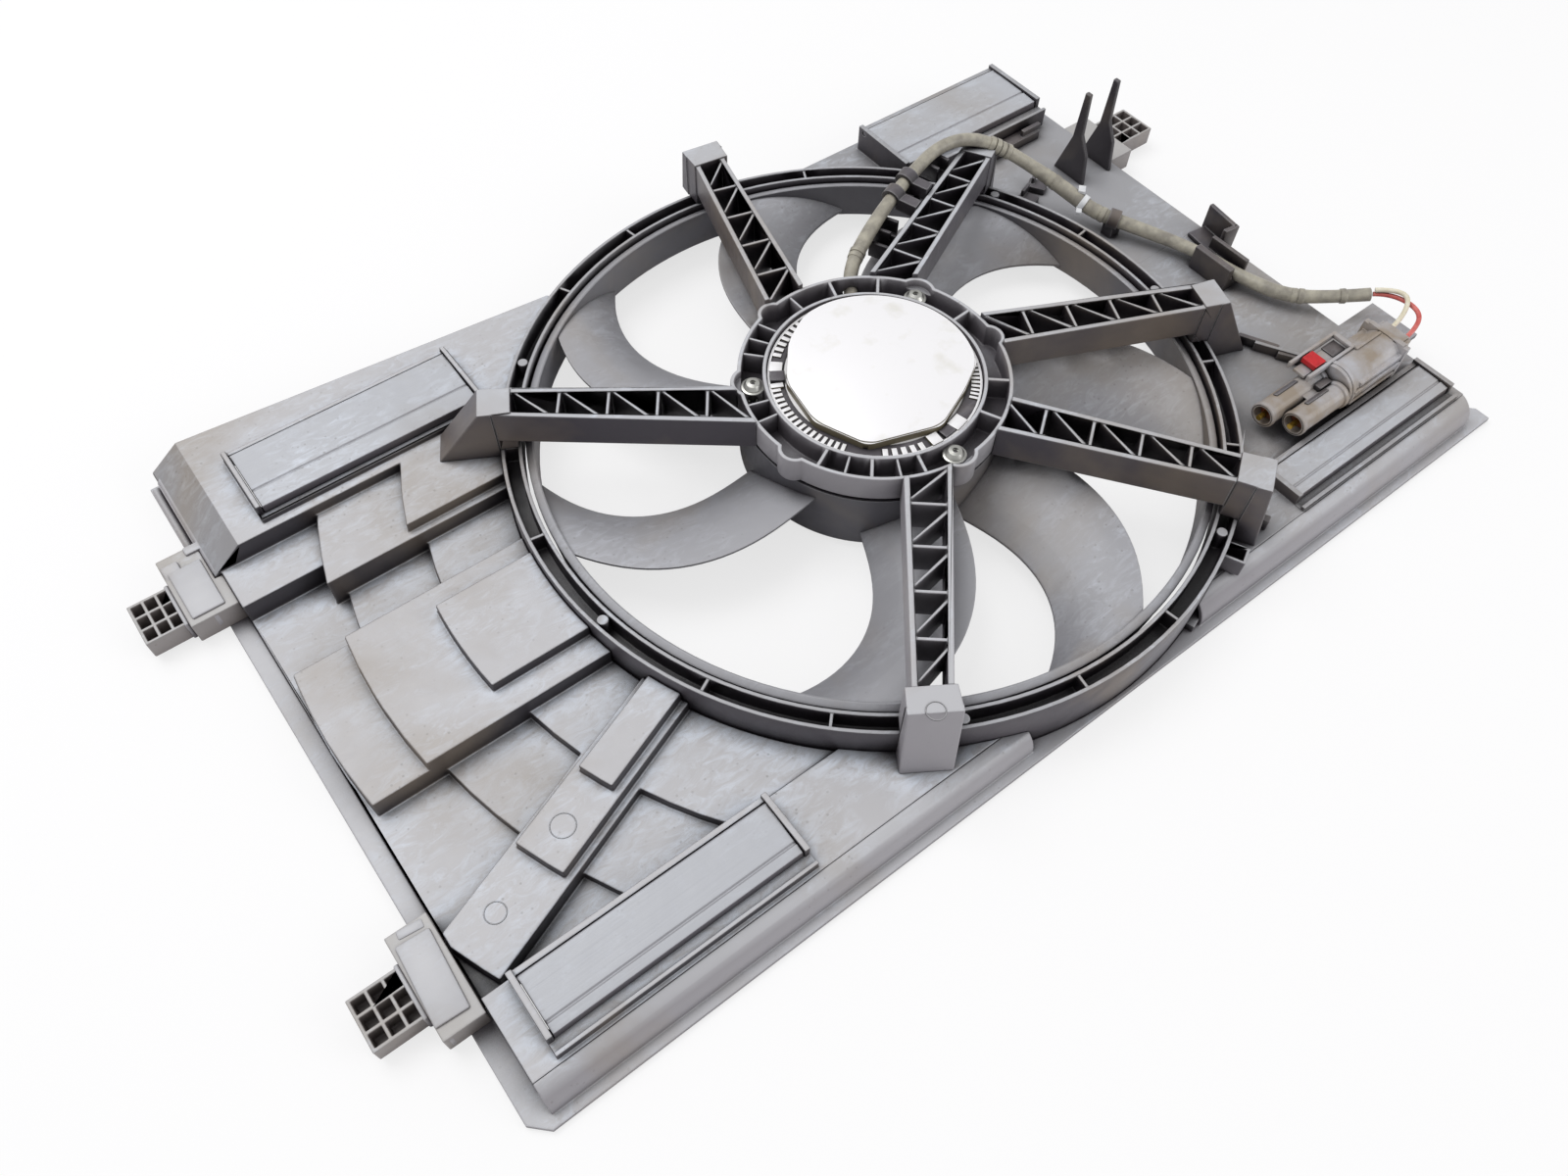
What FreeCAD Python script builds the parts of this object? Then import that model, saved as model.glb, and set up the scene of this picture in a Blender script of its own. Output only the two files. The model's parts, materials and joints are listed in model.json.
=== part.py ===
import FreeCAD, Part
import math
import os

from FreeCAD import Matrix, Rotation, Vector

# Radiator fan shroud with its fan, motor, ram-air flaps and motor lead.
# Millimetres. The sub-parts are drawn about the fan's axis, +X along the long side, +Z from the
# radiator towards the motor, z = 0 at the sealing face of the flange. The finished parts are then
# moved so that the origin is the middle of the whole assembly's underside.

# Driving dimensions -----------------------------------------------------------------------------
FAN_X, FAN_Y = 22.5, -2.8            # the fan's axis, from the middle of the whole
WALL = 2.5                            # moulded wall
FLANGE = 3.0                          # sealing flange
LEFT, RIGHT, NEAR, FAR = -342.0, 284.0, -205.5, 208.0       # flange edges
PANEL_LEFT, PANEL_RIGHT, PANEL_NEAR, PANEL_FAR = -332.0, 278.0, -191.0, 197.0

RING_R = 203.0                        # barrel, outside
RING_TOP = 36.0
RING_WALL = 2.0
RING_CHANNEL = 7.0                    # clear width between the two barrel walls
RING_FLOOR = 25.0                     # floor of the channel
RING_INNER_R = RING_R - 2 * RING_WALL - RING_CHANNEL        # inside of the inner barrel wall

HIGH, LOW, RIGHT_TOP, NEAR_TOP = 31.0, 16.0, 20.0, 18.0     # heights of the panel's plates
STEP_R = (250.0, 295.0)               # radii at which the low rows step down
STEP_Z = (LOW, 10.5, 6.0)
BAR_R = (257.0, 302.0)                # and at which the raised bars do
ROW_SIDE = -147.0                     # boundary of the low rows and the near plate

HUB_SEAT_R, HUB_R = 58.5, 74.0        # motor carrier ring
CARRIER_TOP, CARRIER_BASE = 60.4, 44.5
SPOKE_TOP, SPOKE_DEPTH, SPOKE_WALL = 63.0, 20.0, 3.0
SCREW_R = 66.0                        # circle of the motor's screws
SCREW_ANGLES = (150.0, 30.0, -91.0)
SCREW_SEAT = 55.6                     # under the screws' heads
LOBE_ANGLES = (105.0, -14.0, -166.0)  # plain lobes of the carrier

# spokes: angle at the barrel, angle at the hub, end of the post's top, end and height of its foot,
# half width of the post
SPOKES = (
    (150.8, 164.0, 210.0, 236.0, HIGH, 9.5), (81.7, 94.0, 209.0, 212.0, RING_TOP, 12.0),
    (31.5, 42.6, 206.0, 218.0, RIGHT_TOP, 10.5), (-20.0, -11.8, 208.0, 233.0, RIGHT_TOP, 10.0),
    (-57.0, -62.0, 211.0, 217.0, RIGHT_TOP, 11.0), (-122.3, -108.4, 207.0, 214.5, NEAR_TOP, 13.0),
)
SPOKE_OUTER_R = 199.0
SPOKE_HALF = (9.5, 12.5)              # half width of a spoke at the barrel and at the hub

FAN_R = 185.5                         # inside of the fan's own ring
FAN_HUB_R = 73.5
FAN_HUB_BASE, FAN_HUB_TOP = 5.0, 41.5
BLADE_PITCH = (59.0, 42.0, 53.0, 59.0, 46.0, 52.0, 49.0)    # uneven, to spread the fan's tone
BLADE_START = 187.5                   # angle of the first blade's root
BLADE_SWEEP = -21.0                   # how far the tip leads the root
BLADE_LOW, BLADE_HIGH = 13.0, 34.0
BLADE_T = 2.6

SHAFT_R = 4.0
CAN_R = 56.5
CABLE_R = 4.0

# flaps: x from, x to, then y of the hinge, crease, free edge and frame, plate below, top of the flap
FLAPS = {
    "flap_left_far": (-302.0, -170.0, 170.0, 142.0, 130.0, 124.0, HIGH, 37.0),
    "flap_left_near": (-318.0, -183.0, -152.0, -174.0, -179.5, -187.0, NEAR_TOP, 26.0),
    "flap_right_far": (148.0, 268.0, 187.0, 157.0, 145.0, 137.0, RIGHT_TOP, 36.0),
    "flap_right_near": (148.0, 286.0, -162.0, -176.0, -182.0, -188.5, RIGHT_TOP, 26.0),
}
FLAP_T = 1.8
FLAP_PIN_R = 1.6
FLAP_WALL = 3.0
FLAP_GAP = 0.4
FLAP_LIP = 5.0                        # depth of the turned-down free edge
RUN_GAP = 0.06                        # radial play of a running fit


# Small helpers ----------------------------------------------------------------------------------
def box(x0, x1, y0, y1, z0, z1):
    return Part.makeBox(x1 - x0, y1 - y0, z1 - z0, Vector(x0, y0, z0))


def disc(r, z0, z1, x=0.0, y=0.0):
    return Part.makeCylinder(r, z1 - z0, Vector(x, y, z0))


def tube(r0, r1, z0, z1, x=0.0, y=0.0):
    return disc(r1, z0, z1, x, y).cut(disc(r0, z0 - 1.0, z1 + 1.0, x, y))


def prism(points, z0, z1):
    corners = [Vector(x, y, z0) for x, y in points]
    return Part.Face(Part.makePolygon(corners + corners[:1])).extrude(Vector(0, 0, z1 - z0))


def extrude_x(points, x0, x1):
    """Solid of one outline in Y and Z, along X."""
    corners = [Vector(x0, y, z) for y, z in points]
    return Part.Face(Part.makePolygon(corners + corners[:1])).extrude(Vector(x1 - x0, 0, 0))


def revolve(points, angle=360.0):
    """Solid of revolution of an outline in radius and height."""
    corners = [Vector(r, 0, z) for r, z in points]
    face = Part.Face(Part.makePolygon(corners + corners[:1]))
    return face.revolve(Vector(0, 0, 0), Vector(0, 0, 1), angle)


def turned(shape, angle):
    copy = shape.copy()
    copy.rotate(Vector(0, 0, 0), Vector(0, 0, 1), angle)
    return copy


def moved(shape, x=0.0, y=0.0, z=0.0):
    copy = shape.copy()
    copy.translate(Vector(x, y, z))
    return copy


def polar(r, angle):
    return r * math.cos(math.radians(angle)), r * math.sin(math.radians(angle))


def at(shape, r, angle):
    """A shape drawn at the origin, put at a radius and an angle and turned to face outwards."""
    return turned(moved(shape, x=r), angle)


def wedge(angle, r0, r1, half0, half1, z0, z1):
    """Radial bar, half0 wide each side at r0 and half1 at r1."""
    return turned(prism(((r0, -half0), (r1, -half1), (r1, half1), (r0, half0)), z0, z1), angle)


def sector(angle0, angle1, r, z0, z1):
    middle = (angle0 + angle1) / 2
    reach = r / math.cos(math.radians((angle1 - angle0) / 2)) + 1.0
    return prism(((0, 0), polar(reach, angle0), polar(reach * 1.2, middle), polar(reach, angle1)), z0, z1)


def fuse(shapes):
    shapes = list(shapes)
    whole = shapes[0]
    if len(shapes) > 1:
        whole = whole.fuse(shapes[1:])
    return whole.removeSplitter()


def group(shapes):
    return Part.makeCompound(list(shapes))


def cylinder_to(start, end, r):
    return Part.makeCylinder(r, (end - start).Length, start, end - start)


# The panel --------------------------------------------------------------------------------------
FAR_EDGE = ((-318.0, 203.0), (-98.0, 183.0))          # far edge of the left plate, down to the barrel
A_LEFT, A_LOW = -318.0, 119.0                         # left and near edges of the high left plate
LIP_X, LIP_Z = -336.0, 17.0                           # lip at the foot of its sloping left side
BAR_D = (180.0, ((28.0, BAR_R[0], HIGH), (42.5, BAR_R[1], 25.0), (42.5, 331.0, 18.0)))
BAR_F = (-158.5, ((9.5, BAR_R[0] + 2.0, 28.0), (13.5, BAR_R[1], 22.0), (17.0, 352.0, 16.0)))
BAR_B = ((BAR_R[0], 80.0, HIGH), (BAR_R[1], 75.5, 25.0), (360.0, 92.0, 19.0))


def high_plate(inset):
    """The high plate of the far left corner, with its sloping left side."""
    (x0, y0), (x1, y1) = FAR_EDGE
    slope = (y1 - y0) / (x1 - x0)
    left = LIP_X + inset
    plan = prism(((left, A_LOW + inset), (-170.0, A_LOW + inset), (x1, 150.0), (x1, y1 - inset),
                  (left, y0 + slope * (left - x0) - inset)), 0, HIGH - inset)
    side = ((left, 0), (left, LIP_Z - inset), (A_LEFT + 0.6 * inset, HIGH - inset), (x1, HIGH - inset), (x1, 0))
    corners = [Vector(x, 0, z) for x, z in side + side[:1]]
    return plan.common(Part.Face(Part.makePolygon(corners)).extrude(Vector(0, 300, 0)))


def low_rows(inset):
    """The low rows: rings about the fan's axis that step down outwards."""
    steps = []
    for reach, top in zip(STEP_R + (400.0,), STEP_Z):
        area = box(PANEL_LEFT + inset, -100.0, ROW_SIDE - inset, 95.0, 0, top - inset)
        steps.append(area.common(disc(reach - inset, 0, top - inset)))
    return steps


def upper_row(inset):
    """The raised row beside the high plate, in three steps."""
    steps = []
    for reach, low, top in BAR_B:
        area = box(PANEL_LEFT + inset, -120.0, low + inset, A_LOW + 8.0, 0, top - inset)
        steps.append(area.common(disc(reach - inset, 0, top - inset)))
    return steps


def stepped_bar(bar, inset):
    """A raised radial bar that steps down outwards and widens."""
    angle, steps = bar
    limit = box(PANEL_LEFT + 1.0 + inset, 0, -300, 300, 0, 60)
    return [
        wedge(angle, 150.0, reach + 20.0, half - inset, half - inset, 0, top - inset)
        .common(disc(reach - inset, 0, top - inset)).common(limit)
        for half, reach, top in steps
    ]


def all_left(inset):
    shapes = [high_plate(inset)] + low_rows(inset) + upper_row(inset)
    return shapes + stepped_bar(BAR_D, inset) + stepped_bar(BAR_F, inset)


def left_block():
    return fuse(all_left(0.0)).cut(disc(RING_R, -1, 60))


def panel_left():
    """Terraced left panel, a shell that is open below."""
    panel = left_block().cut(fuse(all_left(WALL)))
    frame, window = flap_frame("flap_left_far")
    return panel.cut(window).fuse(frame).removeSplitter()


def corner_block(x0, x1, y0, y1, top):
    """Plate of one corner of the panel, outside the barrel."""
    return box(x0, x1, y0, y1, 0, top).cut(disc(RING_R, -1, 60))


def corner_panel(name, x0, x1, y0, y1, top, open_sides):
    """Shell of one corner plate: walls all round except on the sides named."""
    inner = box(
        x0 - 1 if "left" in open_sides else x0 + WALL, x1 + 1 if "right" in open_sides else x1 - WALL,
        y0 - 1 if "near" in open_sides else y0 + WALL, y1 + 1 if "far" in open_sides else y1 - WALL,
        -1, top - WALL,
    )
    panel = corner_block(x0, x1, y0, y1, top).cut(inner)
    frame, window = flap_frame(name)
    return panel.cut(window).fuse(frame.cut(disc(RING_R, -1, 60))).removeSplitter()


def flap_frame(name):
    """Raised frame round a flap's window, with the hinge's sockets, and the window's cutter."""
    x0, x1, hinge, _, free, front, plate, top = FLAPS[name]
    pin_z = top - FLAP_PIN_R
    seat = top - FLAP_LIP - FLAP_GAP
    back = hinge + FLAP_PIN_R + FLAP_GAP
    base = box(x0, x1, front, back, plate - WALL, seat)
    if seat - plate > WALL:
        base = base.cut(box(x0 + WALL, x1 - WALL, front + WALL, back, plate - WALL - 1, seat - WALL))
    ends = [box(x, x + FLAP_WALL, free - 1.0, back + FLAP_WALL, plate - WALL, top + 1.4)
            for x in (x0, x1 - FLAP_WALL)]
    rail = box(x0, x1, back, back + FLAP_WALL, plate - WALL, top - 1.0)
    sill = box(x0, x1, front, front + 2.0, plate - WALL, seat + 2.2)
    socket = Part.makeCylinder(FLAP_PIN_R + RUN_GAP, x1 - x0 + 2, Vector(x0 - 1, hinge, pin_z), Vector(1, 0, 0))
    window = box(x0 + FLAP_WALL, x1 - FLAP_WALL, free + 4.0, hinge + 1.0, -5, seat + 1)
    return fuse([base, rail, sill] + ends).cut(socket).cut(window), window


def flap(name):
    """Ram-air flap: hinge bead with stub pins, sheet with a crease, and a turned-down lip."""
    x0, x1, hinge, crease, free, _, _, top = FLAPS[name]
    inner0, inner1 = x0 + FLAP_WALL + FLAP_GAP, x1 - FLAP_WALL - FLAP_GAP
    pin_z = top - FLAP_PIN_R
    outline = (
        (hinge, top), (crease + 1, top), (crease, top - 0.8), (crease - 1, top), (free, top - 0.6),
        (free - 0.6, top - FLAP_LIP), (free + FLAP_T, top - FLAP_LIP), (free + FLAP_T, top - FLAP_T - 0.6),
        (crease, top - FLAP_T - 0.8), (hinge, top - FLAP_T),
    )
    sheet = extrude_x(outline, inner0, inner1)
    bead = Part.makeCylinder(FLAP_PIN_R, inner1 - inner0, Vector(inner0, hinge, pin_z), Vector(1, 0, 0))
    pins = Part.makeCylinder(FLAP_PIN_R, x1 - x0 - 1.0, Vector(x0 + 0.5, hinge, pin_z), Vector(1, 0, 0))
    return fuse([sheet, bead, pins])


NEAR_PANEL = (PANEL_LEFT + 1.0, -60.0, PANEL_NEAR + 2, ROW_SIDE, NEAR_TOP)
FAR_RIGHT = (60.0, PANEL_RIGHT, 0.0, PANEL_FAR, RIGHT_TOP)
NEAR_RIGHT = (60.0, PANEL_RIGHT, PANEL_NEAR + 2, 0.0, RIGHT_TOP)
STRIP = (PANEL_RIGHT - 5, 292.0, PANEL_NEAR + 2, -146.0)      # where the near right plate reaches further


def panel_right_near():
    plate = corner_panel("flap_right_near", *NEAR_RIGHT, ("near", "far", "left"))
    strip = box(*STRIP, 0, RIGHT_TOP).cut(box(STRIP[0] - 1, STRIP[1] - WALL, STRIP[2] - 1, STRIP[3] - WALL, -1,
                                              RIGHT_TOP - WALL))
    inner = box(STRIP[0] - 1, PANEL_RIGHT + 1, STRIP[2] - 1, STRIP[3] - WALL, -1, RIGHT_TOP - WALL)
    _, window = flap_frame("flap_right_near")
    return plate.fuse(strip).cut(inner).cut(window).removeSplitter()


def near_wall(x0, x1, top):
    """Rounded wall from the plate down to the near flange."""
    def path(drop):
        return (Vector(x0, PANEL_NEAR + 2, top - drop), Vector(x0, -197.0 + 0.75 * drop, 0.72 * top - 0.7 * drop),
                Vector(x0, -199.5 + drop, 0))
    outer, inner = path(0.0), path(WALL)
    edges = [Part.Arc(*outer).toShape(), Part.LineSegment(outer[2], inner[2]).toShape(),
             Part.Arc(inner[2], inner[1], inner[0]).toShape(), Part.LineSegment(inner[0], outer[0]).toShape()]
    return Part.Face(Part.Wire(edges)).extrude(Vector(x1 - x0, 0, 0))


def rim():
    """Sealing flange all round, with the rounded near wall."""
    outline = ((LEFT, NEAR + 8), (LEFT + 8, NEAR), (309, NEAR), (309, -196), (299, -186),
               (299, -148), (RIGHT, -148), (RIGHT, FAR), (LEFT, FAR))
    plate = prism(outline, 0, FLANGE)
    walls = [near_wall(NEAR_PANEL[0], NEAR_PANEL[1], NEAR_TOP), near_wall(60.0, 292.0, RIGHT_TOP)]
    body = plate.fuse(walls)
    blocks = [left_block(), corner_block(*NEAR_PANEL), corner_block(*FAR_RIGHT), corner_block(*NEAR_RIGHT), box(*STRIP, 0, RIGHT_TOP),
              disc(RING_R, -1, 60), box(NEAR_PANEL[0] + WALL, -60, -196.5, -188, -1, FLANGE + 1),
              box(60, 292 - WALL, -196.5, -188, -1, FLANGE + 1)]
    for block in blocks:
        body = body.cut(block)
    return body.removeSplitter()


# The barrel -------------------------------------------------------------------------------------
def barrel():
    """Double-walled ring round the fan, with ribs and ejector bosses in its channel."""
    r_out, r_in = RING_R, RING_INNER_R
    section = (
        (r_out, LOW - WALL), (r_out, RING_TOP), (r_out - RING_WALL, RING_TOP), (r_out - RING_WALL, RING_FLOOR),
        (r_in + RING_WALL, RING_FLOOR), (r_in + RING_WALL, RING_TOP), (r_in, RING_TOP), (r_in, 20.0),
        (r_in + RING_WALL, 20.0), (r_in + RING_WALL, RING_FLOOR - 2.0), (r_out - RING_WALL, RING_FLOOR - 2.0),
        (r_out - RING_WALL, LOW - WALL),
    )
    body = revolve(section)
    skirt = tube(r_out - RING_WALL, r_out, 0, LOW - WALL)
    skirts = [skirt.common(sector(-126, -54, r_out, 0, 30)), skirt.common(sector(54, 121, r_out, 0, 30))]
    ribs = []
    for k in range(20):
        angle = 9.0 + 18.0 * k
        ribs.append(wedge(angle, r_in + 1.0, r_out - 1.0, 0.8, 0.8, RING_FLOOR - 1, RING_TOP - 0.6))
        if k % 3 == 1:
            x, y = polar(r_in + RING_WALL + RING_CHANNEL / 2, angle)
            ribs.append(disc(2.9, RING_FLOOR - 1, RING_TOP - 0.3, x, y))
    pocket = wedge(-64.5, RING_R - 1, RING_R + 11, 5.5, 5.5, RIGHT_TOP, 31.0)
    pocket = pocket.cut(wedge(-64.5, RING_R, RING_R + 9.4, 3.9, 3.9, RIGHT_TOP + 2, 32.0))
    body = body.fuse(skirts + ribs + [pocket])
    return body.removeSplitter()


# Spokes and motor carrier -----------------------------------------------------------------------
def spoke(outer, inner, top_end, reach, foot, post_half):
    """Lattice beam from the barrel to the motor carrier, with its post."""
    start, end = Vector(*polar(SPOKE_OUTER_R, outer), 0), Vector(*polar(HUB_R - 1.0, inner), 0)
    along = (end - start).normalize()
    across = Vector(-along.y, along.x, 0)
    length = (end - start).Length
    low = SPOKE_TOP - SPOKE_DEPTH

    def point(s, t):
        spot = start + along * s + across * t
        return spot.x, spot.y

    def half(s):
        return SPOKE_HALF[0] + (SPOKE_HALF[1] - SPOKE_HALF[0]) * s / length

    walls = []
    for side in (-1, 1):
        walls.append(prism((point(-4, side * half(-4)), point(length + 6, side * half(length + 6)),
                            point(length + 6, side * (half(length + 6) - SPOKE_WALL)),
                            point(-4, side * (half(-4) - SPOKE_WALL))), low, SPOKE_TOP))
    bays = 5
    ribs = []
    for k in range(bays):
        s0, s1 = length * k / bays + 4, length * (k + 1) / bays + 4
        h0, h1 = half(s0) - 1, half(s1) - 1
        ribs.append(prism((point(s0, -h0), point(s0 + 1.8, -h0), point(s0 + 1.8, h0), point(s0, h0)),
                          low, SPOKE_TOP - 0.6))
        ribs.append(prism((point(s0, h0), point(s0 + 2.2, h0), point(s1, -h1), point(s1 - 2.2, -h1)),
                          low, SPOKE_TOP - 0.6))
    # the post stands on both walls of the barrel and on the panel outside it
    post = [wedge(outer, SPOKE_OUTER_R - 6, top_end, post_half - 0.8, post_half, RING_TOP, SPOKE_TOP + 1)]
    outline = ((RING_R, SPOKE_TOP + 1), (top_end, SPOKE_TOP + 1), (reach, foot), (RING_R, foot))
    leg_face = Part.Face(Part.makePolygon([Vector(r, -post_half, z) for r, z in outline + outline[:1]]))
    leg = turned(leg_face.extrude(Vector(0, 2 * post_half, 0)), outer)
    hollow_face = [Vector(r, -post_half + WALL, z) for r, z in (
        (RING_R - 7, foot - 1), (RING_R - 7, SPOKE_TOP - 2), (top_end - 3, SPOKE_TOP - 2), (reach - 3, foot - 1))]
    hollow = Part.Face(Part.makePolygon(hollow_face + hollow_face[:1]))
    hollow = hollow.extrude(Vector(0, 2 * (post_half - WALL), 0))
    body = fuse(walls + ribs + post + [leg]).cut(turned(hollow, outer))
    body = body.cut(disc(HUB_R, 0, 80)).cut(fuse([at(disc(11.0, 0, 80), SCREW_R + 1, a) for a in SCREW_ANGLES]))
    body = body.cut(fuse([at(disc(9.0, 0, 80), SCREW_R + 3, a) for a in LOBE_ANGLES]))
    below = tube(RING_INNER_R - 1, RING_R, 0, RING_TOP)
    return body.cut(below).removeSplitter()


def motor_carrier():
    """Ring that the motor hangs in: seat wall, outer wall, ribs, screw lobes and plain lobes."""
    outer = [disc(HUB_R, CARRIER_BASE, CARRIER_TOP)]
    hollow = [tube(HUB_SEAT_R + 2.0, HUB_R - 2.0, CARRIER_BASE + 2, 70)]
    for angle in SCREW_ANGLES:
        outer.append(at(disc(11.0, CARRIER_BASE, CARRIER_TOP), SCREW_R + 1, angle))
        hollow.append(at(disc(9.0, SCREW_SEAT, 70), SCREW_R + 1, angle))
    for angle in LOBE_ANGLES:
        outer.append(at(disc(9.0, CARRIER_BASE, CARRIER_TOP), SCREW_R + 3, angle))
        hollow.append(at(disc(7.0, CARRIER_BASE + 2, 70), SCREW_R + 3, angle))
    seat = tube(HUB_SEAT_R, HUB_SEAT_R + 2.0, CARRIER_BASE, CARRIER_TOP)
    body = fuse(outer).cut(fuse(hollow)).fuse(seat)
    ribs = []
    for k in range(16):
        angle = 360.0 / 16 * k + 4
        near_lobe = [abs((angle - a + 180) % 360 - 180) < 12 for a in SCREW_ANGLES + LOBE_ANGLES]
        if not any(near_lobe):
            ribs.append(wedge(angle, HUB_SEAT_R + 1, HUB_R - 1, 0.9, 0.9, CARRIER_BASE, CARRIER_TOP - 0.5))
    body = body.fuse(ribs).cut(disc(HUB_SEAT_R, 0, 80))
    for angle in SCREW_ANGLES:
        body = body.cut(at(disc(2.7, 0, 80), SCREW_R, angle))
    return body.cut(routed(LEAD, CABLE_R + 0.3)).removeSplitter()


# Motor ------------------------------------------------------------------------------------------
EAR_TOP = CARRIER_BASE                # the motor's ears hang under the carrier's floor
CAN_BASE, CAN_TOP = 12.0, 52.0
ARMATURE_TOP = 39.5
CARD_TOP = 43.5


def motor_housing():
    """Drawn steel can with the lower bearing's seat and three ears."""
    body = disc(CAN_R, CAN_BASE, CAN_TOP).cut(disc(CAN_R - 2.0, CAN_BASE + 2.5, CAN_TOP + 1))
    body = body.fuse(disc(11.0, CAN_BASE, CAN_BASE + 6)).cut(disc(8.0, 0, 60))
    ears = []
    for angle in SCREW_ANGLES:
        ear = fuse([wedge(0, CAN_R - 1, SCREW_R, 6.5, 4.4, EAR_TOP - 3, EAR_TOP), disc(4.4, EAR_TOP - 3, EAR_TOP, SCREW_R)])
        ears.append(turned(ear.cut(disc(1.9, 0, 60, SCREW_R)), angle))
    return body.fuse(ears).cut(disc(CAN_R - 2.0, CAN_BASE + 6.5, CAN_TOP + 1)).removeSplitter()


PLATEAU = ((96, 54.5), (52, 56), (7, 57.3), (-30, 56), (-54, 49), (-87, 51), (-134, 53), (-169, 50), (154, 49))


def motor_end_shield():
    """Bright end of the motor: rim, raised face with rounded corners and the upper bearing's seat."""
    rim_part = disc(HUB_SEAT_R - 0.5, CAN_TOP, CAN_TOP + 5)
    plateau = prism([polar(r, angle) for angle, r in PLATEAU], CAN_TOP + 4, CAN_TOP + 9.5)
    upright = [e for e in plateau.Edges if abs(e.Vertexes[0].Z - e.Vertexes[-1].Z) > 1]
    plateau = plateau.makeFillet(9.0, upright)
    body = rim_part.fuse(plateau).cut(disc(CAN_R - 4, CAN_TOP - 1, CAN_TOP + 2.5))
    vents = [at(box(-3.2, 3.2, -1.3, 1.3, CAN_TOP, CAN_TOP + 8), 54.3, 15.0 * k) for k in range(24)]
    body = body.cut(vents[0].fuse(vents[1:]))
    boss = tube(8.0, 11.0, CAN_TOP - 2.5, CAN_TOP + 4.5)
    body = body.fuse(boss).cut(disc(8.0, CAN_TOP - 3, CAN_TOP + 4.5)).cut(disc(SHAFT_R + 0.5, CAN_TOP, CAN_TOP + 6))
    return body.removeSplitter()


def bearing(z0, z1):
    return tube(SHAFT_R + RUN_GAP, 8.0, z0, z1)


def magnets():
    arc = tube(46.0, CAN_R - 2.0, 17.0, 38.0)
    return group(turned(arc.common(sector(-36, 36, 60, 0, 60)), 90.0 * k + 45) for k in range(4))


def brush_card():
    body = tube(20.0, CAN_R - 2.0, CARD_TOP - 2, CARD_TOP)
    stops = [turned(box(33.0, 36.0, -3.5, 3.5, CARD_TOP, CARD_TOP + 5), 90.0 * k + 45) for k in range(4)]
    return body.cut(fuse([at(box(-4, 4, -4, 4, 40, 48), 27.0, 90.0 * k) for k in range(4)])).fuse(stops)


def brushes():
    return group(at(box(-5.5, 5.5, -3, 3, CARD_TOP, CARD_TOP + 4.4), 19.2, 90.0 * k + 45) for k in range(4))


def brush_springs():
    spring = Part.makeCylinder(2.2, 8.3, Vector(24.7, 0, CARD_TOP + 2.2), Vector(1, 0, 0))
    spring = spring.cut(Part.makeCylinder(1.4, 10.0, Vector(24.0, 0, CARD_TOP + 2.2), Vector(1, 0, 0)))
    return group(turned(spring, 90.0 * k + 45) for k in range(4))


def motor_screws():
    """Pan-head screws, threaded through the motor's ears."""
    head_base = SCREW_SEAT
    screw = revolve(((0, EAR_TOP - 5), (1.85, EAR_TOP - 5), (1.85, head_base), (5.2, head_base), (5.2, head_base + 1.6),
                     (3.6, head_base + 3.4), (1.6, head_base + 3.8), (1.6, head_base + 2.4), (0, head_base + 2.4)))
    return group(at(screw, SCREW_R, angle) for angle in SCREW_ANGLES)


# Fan --------------------------------------------------------------------------------------------
def fan_hub():
    """Cup over the motor, with inner ribs and the boss on the shaft."""
    body = disc(FAN_HUB_R, FAN_HUB_BASE, FAN_HUB_TOP).cut(disc(FAN_HUB_R - 2.0, FAN_HUB_BASE + 2.5, FAN_HUB_TOP + 1))
    boss = disc(11.0, FAN_HUB_BASE, FAN_HUB_BASE + 6)
    ribs = [wedge(45.0 * k, 8.0, FAN_HUB_R - 1, 1.0, 1.0, FAN_HUB_BASE + 1, FAN_HUB_BASE + 5) for k in range(8)]
    return body.fuse([boss] + ribs).cut(disc(SHAFT_R, 0, 60)).removeSplitter()


def blade_section(r):
    """Closed outline of the blade on the cylinder of radius r."""
    share = (r - FAN_HUB_R) / (FAN_R - FAN_HUB_R)
    middle = BLADE_SWEEP * max(share, 0.0) ** 2.4
    chord = 50.0 + 13.0 * max(share, 0.0) ** 2
    half_angle = math.degrees(chord / r) / 2
    rise = BLADE_HIGH - BLADE_LOW - 4.0 * max(share, 0.0)
    base = BLADE_LOW + 2.0 * max(share, 0.0)

    def spot(u, lift):
        x, y = polar(r, middle + half_angle * (2 * u - 1))
        camber = 3.6 * 4 * u * (1 - u)
        return Vector(x, y, base + rise * u + camber + lift)

    upper = [spot(u / 4, BLADE_T / 2 * (0.55 + 0.45 * math.sin(math.pi * u / 4))) for u in range(5)]
    lower = [spot(u / 4, -BLADE_T / 2 * (0.55 + 0.45 * math.sin(math.pi * u / 4))) for u in range(5)]
    over, under = Part.BSplineCurve(), Part.BSplineCurve()
    over.interpolate(upper)
    under.interpolate(lower[::-1])
    return Part.Wire([over.toShape(), Part.LineSegment(upper[-1], lower[-1]).toShape(), under.toShape(),
                      Part.LineSegment(lower[0], upper[0]).toShape()])


def blade():
    """One sickle-shaped twisted blade, from the hub to the fan's ring."""
    stations = [FAN_HUB_R - 2 + (FAN_R + 4 - FAN_HUB_R) * k / 5 for k in range(6)]
    body = Part.makeLoft([blade_section(r) for r in stations], True, False)
    return body.common(tube(FAN_HUB_R, FAN_R, 0, 60))


def fan_blades():
    one = blade()
    angle = BLADE_START
    blades = []
    for pitch in BLADE_PITCH:
        blades.append(turned(one, angle))
        angle += pitch
    return group(blades)


def fan_ring():
    r = FAN_R
    return revolve(((r, 12.0), (r + 2, 12.0), (r + 2, 31.0), (r + 4.6, 31.0), (r + 4.6, 33.0), (r + 1.0, 34.5), (r, 34.0)))


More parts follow.
